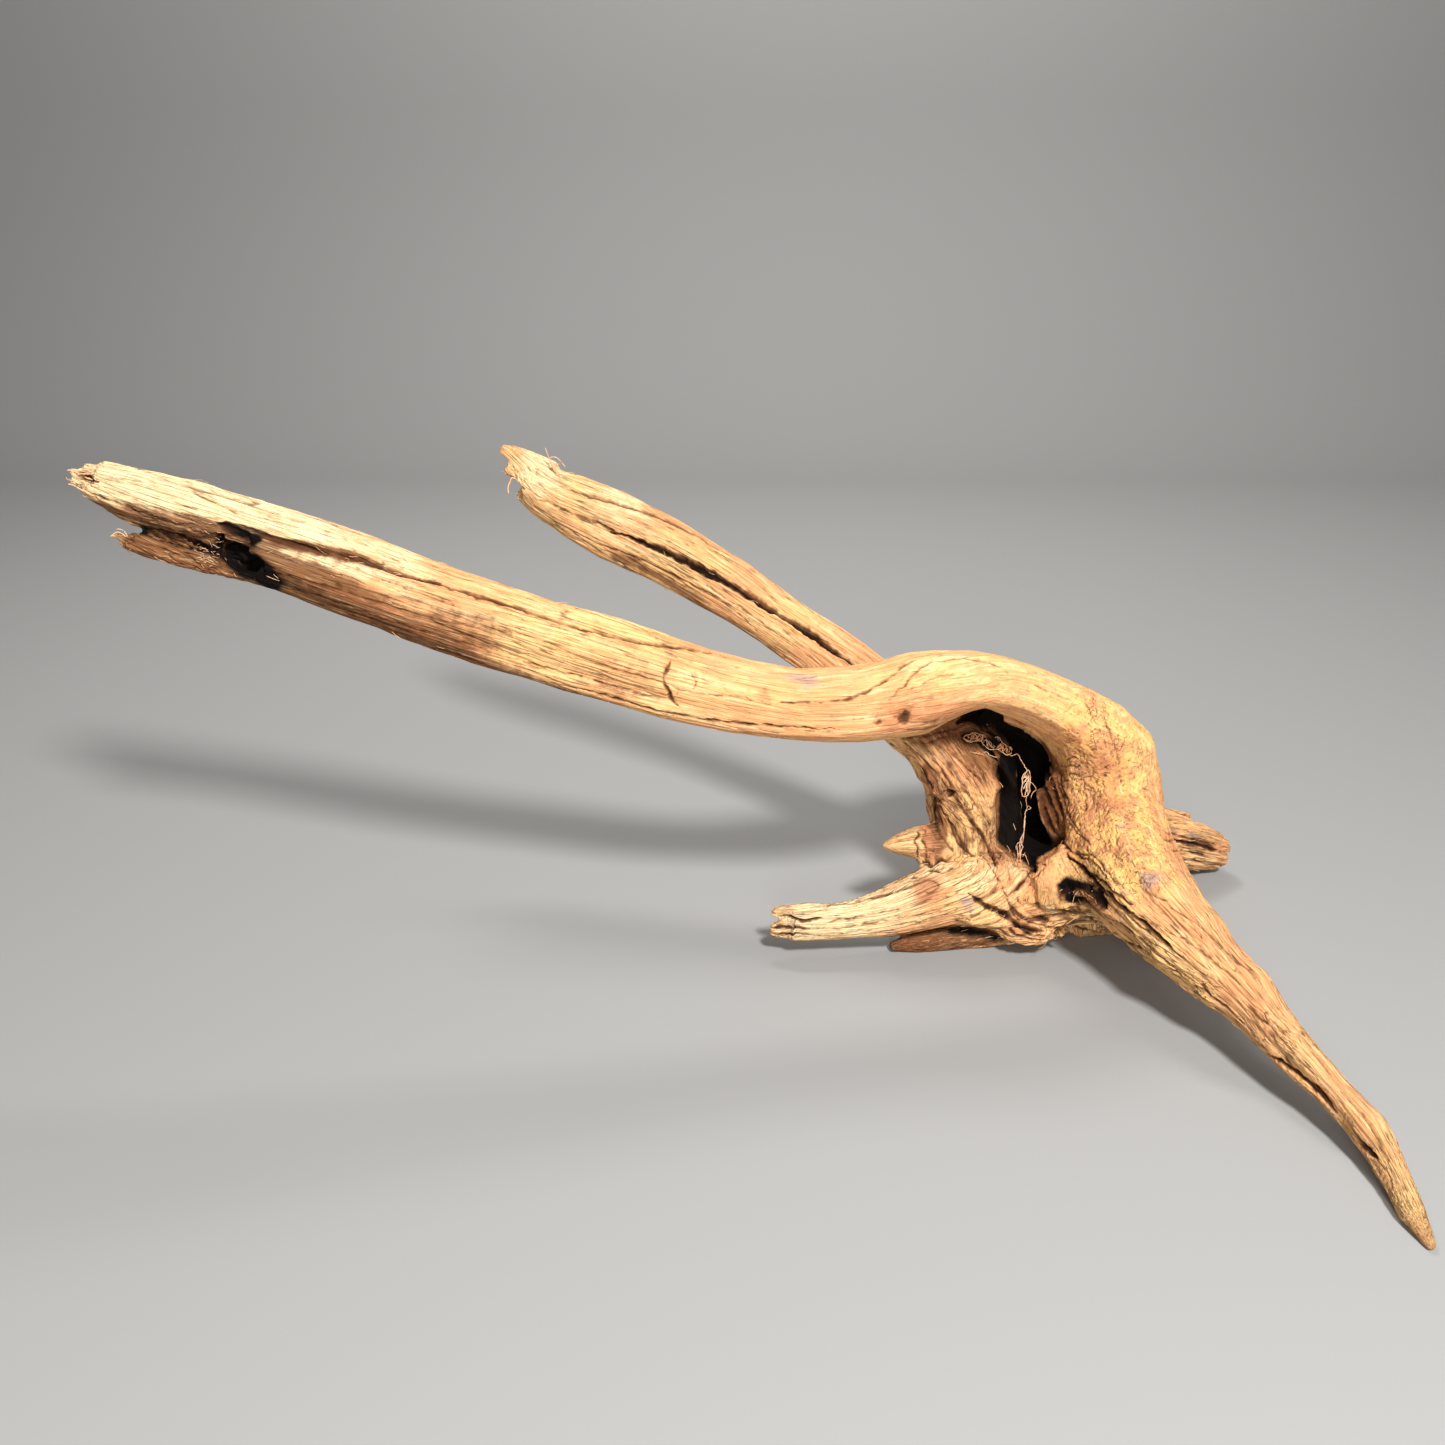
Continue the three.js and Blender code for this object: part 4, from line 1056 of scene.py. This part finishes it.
# The lace of torn wood in the mouth of the hollow: (radius, pixels along the strand)
LACE = {
    "top": (0.42, [(962, 738), (968, 735), (975, 733), (985, 736), (993, 738), (998, 737),
        (1003, 743), (1010, 748), (1012, 751)]),
    "bottom": (0.4, [(964, 740), (970, 742), (980, 741), (985, 746), (991, 750), (997, 749),
        (1003, 753), (1009, 755), (1012, 751)]),
    "middle": (0.3, [(966, 736), (975, 739), (985, 740), (992, 743), (996, 742)]),
    "cross one": (0.28, [(970, 734), (972, 738), (970, 742)]),
    "cross two": (0.28, [(978, 734), (976, 739), (981, 742)]),
    "cross three": (0.3, [(986, 736), (989, 741), (986, 746)]),
    "cross four": (0.34, [(993, 738), (991, 744), (994, 750)]),
    "cross five": (0.36, [(998, 738), (994, 744), (997, 749)]),
    "cross six": (0.34, [(1009, 747), (1006, 751), (1009, 755)]),
    "shred": (0.34, [(969, 751), (975, 753), (981, 754), (986, 752), (991, 756), (998, 757)]),
    "shred two": (0.28, [(972, 754), (978, 752), (985, 756)]),
    "hanging": (0.4, [(1009, 755), (1013, 756), (1017, 754), (1021, 760), (1024, 765),
        (1028, 771)]),
    "loop": (0.44, [(1028, 769), (1026, 773), (1023, 779), (1022, 787), (1022, 796), (1027, 796),
        (1030, 791), (1029, 781), (1030, 774), (1028, 769)]),
    "loop tie": (0.38, [(1023, 778), (1027, 777), (1032, 777)]),
    "loop tie two": (0.34, [(1022, 784), (1026, 781), (1030, 782)]),
    "loop tie three": (0.34, [(1024, 775), (1029, 780), (1033, 784), (1036, 790), (1032, 793),
        (1031, 799)]),
    "loop tie four": (0.3, [(1027, 772), (1028, 778), (1027, 786), (1028, 795)]),
    "loop tie five": (0.26, [(1022, 790), (1025, 788), (1029, 789)]),
    "chain": (0.3, [(1026, 795), (1026, 801), (1027, 807), (1025, 814), (1024, 822), (1024, 831),
        (1022, 838), (1021, 846), (1018, 856), (1016, 863)]),
    "chain shred": (0.3, [(1025, 812), (1028, 809), (1031, 808), (1027, 805)]),
    "foot": (0.42, [(1023, 842), (1018, 843), (1017, 849), (1018, 857), (1016, 863)]),
    "foot two": (0.38, [(1020, 843), (1023, 847), (1020, 853), (1021, 862)]),
    "foot three": (0.34, [(1020, 855), (1025, 855), (1028, 861), (1029, 865)]),
}
LACE_TOP = (962, 738)  # the lace hangs in the plane between these places on the wood
LACE_FOOT = (1016, 863)
LACE_TIES = {"top": ("bottom", 44), "loop": ("loop tie four", 16), "chain": ("foot two", 7)}
LACE_THINNESS = 0.6
LACE_WOBBLE = 0.5
LACE_WOBBLE_LENGTH = 1.1
TIE_BOW = 0.7
TIE_RADII = (0.1, 0.36)
# Single strands that stand off the wood: (radius, pixel that they hang by, pixels along them)
WISPS = {
    "rear wisp": (0.3, (562, 482), [(556, 468), (550, 460), (547, 453), (545, 447)]),
    "rear curl": (0.3, (562, 482), [(550, 461), (552, 457), (557, 458), (562, 463), (566, 468)]),
    "rear curl two": (0.24, (562, 482), [(552, 463), (556, 464), (561, 464)]),
    "rear flake": (0.5, (530, 492), [(514, 478), (510, 482), (508, 488), (509, 495)]),
    "prong splinter": (0.32, (130, 541), [(124, 535), (117, 532), (113, 535), (109, 537)]),
    "prong splinter two": (0.25, (130, 541), [(124, 531), (118, 529), (115, 531)]),
    "prong curl": (0.4, (184, 558), [(180, 553), (176, 556), (178, 560), (175, 563), (171, 561)]),
    "plank splinter": (0.45, (98, 486), [(88, 492), (80, 489), (73, 485), (67, 484)]),
    "plank splinter two": (0.4, (96, 474), [(86, 474), (78, 473), (71, 470), (66, 471)]),
}
# Places where fibres have come loose: (pixel, reach in pixels, how many, length)
TUFTS = {
    "cavity side": ((208, 556), 10, 50, 3), "plank shade": ((212, 526), 12, 20, 3),
    "groove": ((345, 564), 16, 24, 4), "groove end": ((400, 576), 22, 30, 4),
    "plank end": ((80, 485), 10, 16, 5), "burr": ((1010, 932), 22, 12, 4),
    "snag": ((930, 855), 14, 16, 4), "knot": ((1080, 890), 16, 24, 3),
    "hollow foot": ((1015, 868), 12, 40, 4), "root end": ((780, 915), 10, 10, 4),
    "rear end": ((520, 480), 12, 12, 5),
}
LOOSE_FIBRES = 500
FIBRE_LENGTH = 6
FIBRE_RADIUS = 0.12
FIBRE_ROOT = 0.35  # how deep in the wood a fibre starts
WISP_LIFT = 2  # how far behind its root a wisp hangs
STRAND_STEP = 2  # pixels between the points of a strand


def tube(points, radius, sides=5):
    """Corners and faces of a closed tube that runs out to a point at both ends."""
    points = np.array(points, float)
    ways = np.gradient(points, axis=0)
    ways /= np.maximum(np.linalg.norm(ways, axis=1)[:, None], 1e-9)
    turns = np.arange(sides) / sides * 2 * math.pi
    side = np.cross(ways[0], [0.3, 0.5, 0.81])
    corners = [points[0]]
    for point, way in zip(points[1:-1], ways[1:-1]):
        side = side - way * side.dot(way)
        side = side / np.linalg.norm(side)
        up = np.cross(way, side)
        for turn in turns:
            corners.append(point + radius * (math.cos(turn) * side + math.sin(turn) * up))
    corners.append(points[-1])
    rings = len(points) - 2
    last = len(corners) - 1
    faces = []
    for k in range(sides):
        after = (k + 1) % sides
        faces.append((0, 1 + after, 1 + k))
        for ring in range(rings - 1):
            low = 1 + ring * sides
            faces.append((low + k, low + after, low + sides + after, low + sides + k))
        faces.append((last, last - sides + k, last - sides + after))
    return corners, faces


def tubes_object(name, strands):
    """One object of many tubes, each strand being its points and its radius."""
    corners = []
    faces = []
    for points, radius in strands:
        new_corners, new_faces = tube(within_box(points, radius), radius)
        faces += [tuple(corner + len(corners) for corner in face) for face in new_faces]
        corners += new_corners
    mesh = bpy.data.meshes.new(name)
    mesh.from_pydata((np.array(corners) * MM).tolist(), [], faces)
    mesh.polygons.foreach_set("use_smooth", np.ones(len(mesh.polygons), bool))
    strands_object = bpy.data.objects.new(name, mesh)
    bpy.context.scene.collection.objects.link(strands_object)
    return strands_object


def at_depth(pixel, depth):
    """The place behind a pixel of the photograph where y is the depth."""
    ray = np.array(photo_ray(pixel))
    return CAMERA_PLACE + ray * (depth - CAMERA_PLACE[1]) / ray[1]


def place_along(points, share):
    return points[int(share * (len(points) - 1))]


def torn_lace(tree):
    top = on_wood(tree, LACE_TOP)
    foot = on_wood(tree, LACE_FOOT)
    rng = np.random.default_rng(5)
    strands = {}
    for name, (radius, pixels) in LACE.items():
        points = []
        for pixel in curve_through(pixels, STRAND_STEP):
            share = (pixel[1] - LACE_TOP[1]) / (LACE_FOOT[1] - LACE_TOP[1])
            points.append(at_depth(pixel, top[1] + (foot[1] - top[1]) * share))
        points = np.array(points)
        wavy = points / LACE_WOBBLE_LENGTH
        wobble = np.stack([noise(wavy, seed) for seed in (951, 952, 953)], 1)
        strands[name] = (points + LACE_WOBBLE * wobble, radius * LACE_THINNESS)
    for name, (other, count) in LACE_TIES.items():
        for tie in range(count):
            share = rng.uniform(0, 1)
            other_share = np.clip(share + rng.normal() * 0.12, 0, 1)
            start = place_along(strands[name][0], share)
            end = place_along(strands[other][0], other_share)
            bow = rng.normal(size=3) * TIE_BOW
            third = start + (end - start) / 3 + bow
            two_thirds = start + (end - start) * 2 / 3 + bow
            points = np.array([start, third, two_thirds, end])
            strands["%s tie %d" % (name, tie)] = (points, rng.uniform(*TIE_RADII))
    return tubes_object("torn_lace", strands.values())


def wisps(tree):
    strands = []
    for radius, held_by, pixels in WISPS.values():
        held = on_wood(tree, held_by)
        depth = held[1] + WISP_LIFT
        drawn = curve_through([held_by] + pixels, STRAND_STEP)
        strands.append((np.array([at_depth(pixel, depth) for pixel in drawn]), radius))
    return tubes_object("wisps", strands)


def loose_fibre(rng, place, normal, way, length, lift):
    """A fibre that starts in the wood and comes away from it along the grain."""
    way = way + rng.normal(size=3) * 0.25
    way -= normal * way.dot(normal)
    way /= np.linalg.norm(way)
    side = np.cross(way, normal)
    curl = rng.normal() * 0.12
    points = []
    for t in np.linspace(0, 1, 7):
        rise = lift * math.sin(t * math.pi * rng.uniform(0.6, 1)) - FIBRE_ROOT
        points.append(place + way * t * length + side * curl * length * t * t + normal * rise)
    return np.array(points)


def loose_fibres(skin, tree):
    """Fibres that have come loose, in tufts and here and there over the rougher wood."""
    rng = np.random.default_rng(11)
    places = places_of(skin.data)
    rough = np.empty(len(places), np.float32)
    skin.data.attributes["rough"].data.foreach_get("value", rough)
    weight = rough ** 2 / (rough ** 2).sum()
    chosen = rng.choice(len(places), LOOSE_FIBRES, p=weight)
    lengths = [FIBRE_LENGTH] * LOOSE_FIBRES
    starts = list(zip(places[chosen], normals_of(skin.data)[chosen], lengths))
    for pixel, reach, count, length in TUFTS.values():
        for _ in range(count):
            aim = np.array(pixel) + rng.normal(size=2) * reach * 0.6
            place, normal = tree.ray_cast(Vector(CAMERA_PLACE * MM), photo_ray(aim))[:2]
            if place is not None:
                starts.append((np.array(place) / MM, np.array(normal), length))
    ways = grain_ways(np.array([start[0] for start in starts]))
    strands = []
    for (place, normal, length), way in zip(starts, ways):
        length = length * rng.uniform(0.5, 1.5)
        radius = FIBRE_RADIUS * rng.uniform(0.6, 1.4)
        lift = rng.uniform(0.2, 1.3)
        way = way * rng.choice([-1, 1])
        strands.append((loose_fibre(rng, place, normal, way, length, lift), radius))
    return tubes_object("loose_fibres", strands)


# Shader maths


class Socket:
    """A socket of a material. Sums and products of sockets add their Math nodes."""

    def __init__(self, material, socket):
        self.material = material
        self.socket = socket

    def maths(self, operation, *values):
        inputs = dict(enumerate(values))
        return self.material.node("ShaderNodeMath", {"operation": operation}, inputs)

    def __add__(self, other):
        return self.maths("ADD", self, other)

    def __sub__(self, other):
        return self.maths("SUBTRACT", self, other)

    def __rsub__(self, other):
        return self.maths("SUBTRACT", other, self)

    def __mul__(self, other):
        return self.maths("MULTIPLY", self, other)

    def __abs__(self):
        return self.maths("ABSOLUTE", self)

    __radd__ = __add__
    __rmul__ = __mul__


class Material:
    """A material and the few kinds of node that it is made of."""

    def __init__(self, name):
        self.material = bpy.data.materials.new(name)
        self.material.use_nodes = True
        self.tree = self.material.node_tree
        self.tree.nodes.clear()

    def node(self, kind, settings=None, inputs=None, output=0):
        made = self.tree.nodes.new(kind)
        for key, value in (settings or {}).items():
            setattr(made, key, value)
        for key, value in (inputs or {}).items():
            if isinstance(value, Socket):
                self.tree.links.new(value.socket, made.inputs[key])
            else:
                made.inputs[key].default_value = value
        return Socket(self, made.outputs[output])

    def number(self, name):
        return self.node("ShaderNodeAttribute", {"attribute_name": name}, output="Fac")

    def vector(self, name):
        return self.node("ShaderNodeAttribute", {"attribute_name": name}, output="Vector")

    def vector_maths(self, operation, *values):
        return self.node("ShaderNodeVectorMath", {"operation": operation}, dict(enumerate(values)))

    def mix(self, share, first, second, blend="MIX"):
        settings = {"data_type": "RGBA", "blend_type": blend, "clamp_factor": True}
        return self.node("ShaderNodeMix", settings, {0: share, 6: first, 7: second}, output=2)

    def between(self, value, low, high):
        settings = {"interpolation_type": "SMOOTHSTEP"}
        return self.node("ShaderNodeMapRange", settings, {0: value, 1: low, 2: high})

    def noise(self, place, size, detail=2.0, roughness=0.5):
        inputs = {"Vector": place, "Scale": 1 / size, "Detail": detail, "Roughness": roughness}
        return self.node("ShaderNodeTexNoise", {}, inputs)

    def along_the_grain(self, pattern, across, along):
        """A pattern of noise drawn out along the fibres, blended where grain lines meet."""
        total = None
        for name in GRAIN_SETS:
            size = (1 / across, 1 / across, 1 / along)
            place = self.vector_maths("MULTIPLY", self.vector("grain_" + name), size)
            part = self.number("share_" + name) * pattern(place)
            total = part if total is None else total + part
        return total

    def grain_noise(self, across, along, detail=2.0, roughness=0.5):
        return self.along_the_grain(
            lambda place: self.noise(place, 1, detail, roughness), across, along)

    def grain_lines(self, across, along, width):
        """Thin wavering lines along the fibres, 1 on a line and 0 beside it."""
        gap = self.along_the_grain(
            lambda place: abs(self.noise(place, 1, 1.0, 0.4) - 0.5), across, along)
        return self.between(gap, width, 0)

    def finish(self, colour, **inputs):
        surface = self.node("ShaderNodeBsdfPrincipled", {}, {"Base Color": colour, **inputs})
        output = self.tree.nodes.new("ShaderNodeOutputMaterial")
        self.tree.links.new(surface.socket, output.inputs["Surface"])
        return self.material


def colour(red, green, blue):
    """A colour given as it looks on a screen, from 0 to 255."""
    def linear(value):
        value /= 255
        return value / 12.92 if value <= 0.04045 else ((value + 0.055) / 1.055) ** 2.4
    return (linear(red), linear(green), linear(blue), 1.0)


CREAM = colour(248, 217, 166)
STRAW = colour(232, 182, 120)
TAN = colour(222, 159, 108)
RUDDY = colour(174, 108, 74)
UMBER = colour(114, 70, 41)
BROWN = colour(92, 54, 31)
# The black of the painted shade
PAINTED_SHADE_COLOUR = colour(15, 9, 6)
CRACK = colour(26, 15, 9)
LILAC = colour(160, 138, 132)
PALE_FIBRE = colour(220, 184, 150)
GOLD = colour(242, 190, 110)


# Patterns in the colour that follow no grain: how big their patches are, in metres
BROAD = 0.05
BLOTCH = 0.011
BENT_PATCH = 0.009
MOTTLE = 0.006
BENT_LINE = 0.0045
SPECK = 0.0019
GRIT = 0.0017
# Patterns that follow it: millimetres across the fibres, and along them
STREAKS = (3.2, 60)
FIBRES = (1.0, 26)
SEAMS = (3.4, 90)
HAIRS = (1.5, 38)
BUMP_HEIGHT = 0.0011
# Patterns in the colour of the loose fibres, in metres
FIBRE_PATCH = 0.008
FIBRE_SPECK = 0.0015


def weathered_wood():
    wood = Material("weathered_wood")
    place = wood.node("ShaderNodeTexCoord", {}, {}, output="Object")
    broad = wood.noise(place, BROAD, 2)
    mottle = wood.noise(place, MOTTLE, 4, 0.6)
    grit = wood.noise(place, GRIT, 2, 0.6)
    pitted = wood.number("pitted")
    grained = 1 - 0.75 * pitted
    streak = wood.grain_noise(*STREAKS, 3, 0.6)
    streak = 0.5 + (streak - 0.5) * grained
    fibre = wood.grain_noise(*FIBRES, 2, 0.6)
    seam = wood.grain_lines(*SEAMS, 0.04) * grained
    hair = wood.grain_lines(*HAIRS, 0.045) * grained
    bend = abs(wood.noise(place, BENT_LINE, 2, 0.5) - 0.5)
    bent_line = wood.between(bend, 0.03, 0)
    bent_line = bent_line * wood.between(wood.noise(place, BENT_PATCH, 1), 0.45, 0.6)
    bent_line = bent_line * (0.12 + 0.88 * pitted)
    patchy = (mottle - 0.5) * 1.2 + 0.4 * (streak - 0.5)
    fissured = wood.between(wood.number("rough"), 0.1, 0.8)
    bleached = wood.between(wood.number("pale"), 0.3, 1.0)
    rarely = wood.between(mottle + 0.6 * broad, 0.74, 0.92) * (0.3 + 0.7 * fissured)
    rarely = rarely * (1 - 0.5 * bleached)

    # The bare wood and its stains, with painted light in the pale kind and painted shade in the
    # brown kind
    base = wood.mix(wood.between(broad + 0.5 * patchy, 0.35, 0.65), TAN, STRAW)
    base = wood.mix(wood.between(streak, 0.48, 0.68) * 0.42, base, CREAM)
    blotch = wood.noise(place, BLOTCH, 3, 0.55)
    golden = wood.between(blotch + 0.1 * pitted, 0.52, 0.68) * (0.15 + 0.45 * pitted)
    base = wood.mix(golden, base, GOLD)
    reddish = wood.between(blotch - 0.1 * pitted, 0.46, 0.32) * (0.15 + 0.25 * pitted)
    base = wood.mix(reddish, base, RUDDY)
    # Pale wood, bleached, and painted light on the shaded base and back root faces
    base = wood.mix(wood.between(wood.number("pale") + patchy, 0.1, 1.0), base, CREAM)
    base = wood.mix(wood.between(wood.number("ruddy") + patchy, 0.1, 1.1) * 0.8, base, RUDDY)
    base = wood.mix(wood.between(mottle + 0.5 * streak, 0.84, 1.0) * 0.3, base, RUDDY)
    base = wood.mix(wood.between(wood.number("lilac") + patchy, 0.35, 0.9) * 0.7, base, LILAC)
    # The brown kind, partly stain and partly painted shade, turns the wood towards umber
    shade = wood.number("brown") - 0.6 * wood.number("pale") + 0.9 * patchy + 1.5 * (streak - 0.5)
    base = wood.mix(wood.between(shade, 0.2, 1.1) * 0.9, base, UMBER)
    base = wood.mix(wood.between(streak, 0.46, 0.28) * 0.35, base, RUDDY)
    # Dark fibres, seams and specks
    faint = (0.2 + 0.3 * fissured) * (1 - 0.5 * bleached) * grained
    base = wood.mix(wood.between(fibre, 0.48, 0.3) * faint, base, BROWN)
    base = wood.mix(hair * (0.1 + 0.55 * rarely), base, BROWN)
    base = wood.mix(seam * (0.18 + 0.7 * rarely), base, BROWN)
    base = wood.mix(bent_line * 0.6, base, BROWN)
    speck = wood.between(wood.noise(place, SPECK, 2, 0.6), 0.56, 0.68)
    base = wood.mix(speck * (0.08 + 0.5 * pitted), base, BROWN)
    base = wood.mix(wood.between(fibre, 0.55, 0.75) * 0.35, base, CREAM)
    # Crack lines made browner: painted shade in them, with their dirt
    base = wood.mix(wood.number("lined") * 0.85, base, BROWN)
    # Cracks and hollows, darker the deeper they are: painted shade in the depths, with the dirt
    # that gathers there
    sunk = wood.number("sunk") + 0.6 * patchy
    base = wood.mix(wood.between(sunk, 0.6, 2.0) * 0.8, base, BROWN)
    base = wood.mix(wood.between(sunk, 1.5, 3.6) * 0.95, base, CRACK)
    # Painted shade: black where the hollows, the arch's underside and the gaps under the roots lie
    # in shadow
    base = wood.mix(wood.between(wood.number("painted_shade") + 0.5 * patchy, 0.15, 1.0), base, PAINTED_SHADE_COLOUR)

    lift = fibre * (0.4 + 0.5 * fissured) + 0.4 * mottle
    lift = lift + grit * (0.12 + 0.8 * pitted) - 0.4 * bent_line
    lift = lift - hair * (0.1 + 0.25 * fissured) - seam * (0.2 + 0.3 * fissured)
    bump = {"Height": lift, "Strength": 0.9, "Distance": BUMP_HEIGHT}
    bump = wood.node("ShaderNodeBump", {}, bump)
    rough = 0.78 + 0.14 * fibre
    return wood.finish(base, Roughness=rough, Normal=bump, **{"Specular IOR Level": 0.1})


def torn_fibre():
    fibre = Material("torn_fibre")
    place = fibre.node("ShaderNodeTexCoord", {}, {}, output="Object")
    patches = fibre.noise(place, FIBRE_PATCH, 3, 0.6)
    base = fibre.mix(fibre.between(patches, 0.38, 0.62), TAN, PALE_FIBRE)
    specks = fibre.between(fibre.noise(place, FIBRE_SPECK, 2), 0.5, 0.3)
    base = fibre.mix(specks * 0.5, base, BROWN)
    return fibre.finish(base, Roughness=0.85, **{"Specular IOR Level": 0.2})


# The floor and the lights

PAPER = colour(150, 149, 147)
# The paper, in metres
PAPER_FRONT = -5.0
PAPER_BEND = 1.5  # where it starts to curve up
PAPER_RADIUS = 0.6
PAPER_HEIGHT = 2.4
PAPER_SIDE = 5.0
PAPER_STEPS = 12  # flat strips in its bend


def add_floor():
    """A paper sweep: a level floor that curves up behind the piece."""
    profile = [(PAPER_FRONT, 0.0), (PAPER_BEND, 0.0)]
    for step in range(1, PAPER_STEPS + 1):
        angle = step / PAPER_STEPS * math.pi / 2
        back = PAPER_BEND + PAPER_RADIUS * math.sin(angle)
        profile.append((back, PAPER_RADIUS * (1 - math.cos(angle))))
    profile.append((PAPER_BEND + PAPER_RADIUS, PAPER_HEIGHT))
    corners = [(x, y, z) for y, z in profile for x in (-PAPER_SIDE, PAPER_SIDE)]
    faces = [(2 * k, 2 * k + 1, 2 * k + 3, 2 * k + 2) for k in range(len(profile) - 1)]
    mesh = bpy.data.meshes.new("floor")
    mesh.from_pydata(corners, [], faces)
    mesh.polygons.foreach_set("use_smooth", [True] * len(faces))
    floor = bpy.data.objects.new("floor", mesh)
    bpy.context.scene.collection.objects.link(floor)
    mesh.materials.append(Material("floor_paper").finish(PAPER, Roughness=0.9))
    floor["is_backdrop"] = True


def add_light(name, place, aim, size, power):
    lamp = bpy.data.lights.new(name, "AREA")
    lamp.shape = "DISK"
    lamp.size = size
    lamp.energy = power
    light = bpy.data.objects.new(name, lamp)
    light.location = place
    light.rotation_euler = (Vector(aim) - Vector(place)).to_track_quat("-Z", "Y").to_euler()
    bpy.context.scene.collection.objects.link(light)


# Lights: (place, aim, width, power), in metres and watts
LIGHTS = {
    "key": ((-0.3, 0.75, 1.35), (-0.15, 0, 0.1), 0.35, 9),
    "front": ((0.15, -1.15, 1.15), (-0.15, 0, 0.1), 0.2, 36),
    "low": ((-0.2, -1.9, 0.6), (-0.1, 0, 0.12), 0.5, 14),
    "sweep": ((0, 0.9, 1.9), (0, 2.1, 1.0), 0.8, 24),
}
ROOM_TINT = (1, 0.98, 0.96, 1)
ROOM_STRENGTH = 0.22


def add_lights():
    for name, (place, aim, width, power) in LIGHTS.items():
        add_light(name, place, aim, width, power)
    world = bpy.data.worlds.new("studio")
    world.use_nodes = True
    background = world.node_tree.nodes["Background"].inputs
    background["Color"].default_value = ROOM_TINT
    background["Strength"].default_value = ROOM_STRENGTH
    bpy.context.scene.world = world


add_camera()
skin = grown_together()
weather(skin)
tree = BVHTree.FromObject(skin, bpy.context.evaluated_depsgraph_get())
fibres = [torn_lace(tree), wisps(tree), loose_fibres(skin, tree)]
pieces = part_the_wood(skin)
wood = weathered_wood()
for name, piece in pieces.items():
    piece.data.materials.append(wood)
    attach(piece, "root")
    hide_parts(name)
loose_wood = torn_fibre()
for piece in fibres:
    piece.data.materials.append(loose_wood)
    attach(piece, "root")
add_floor()
add_lights()
bpy.context.scene.view_settings.view_transform = "Standard"
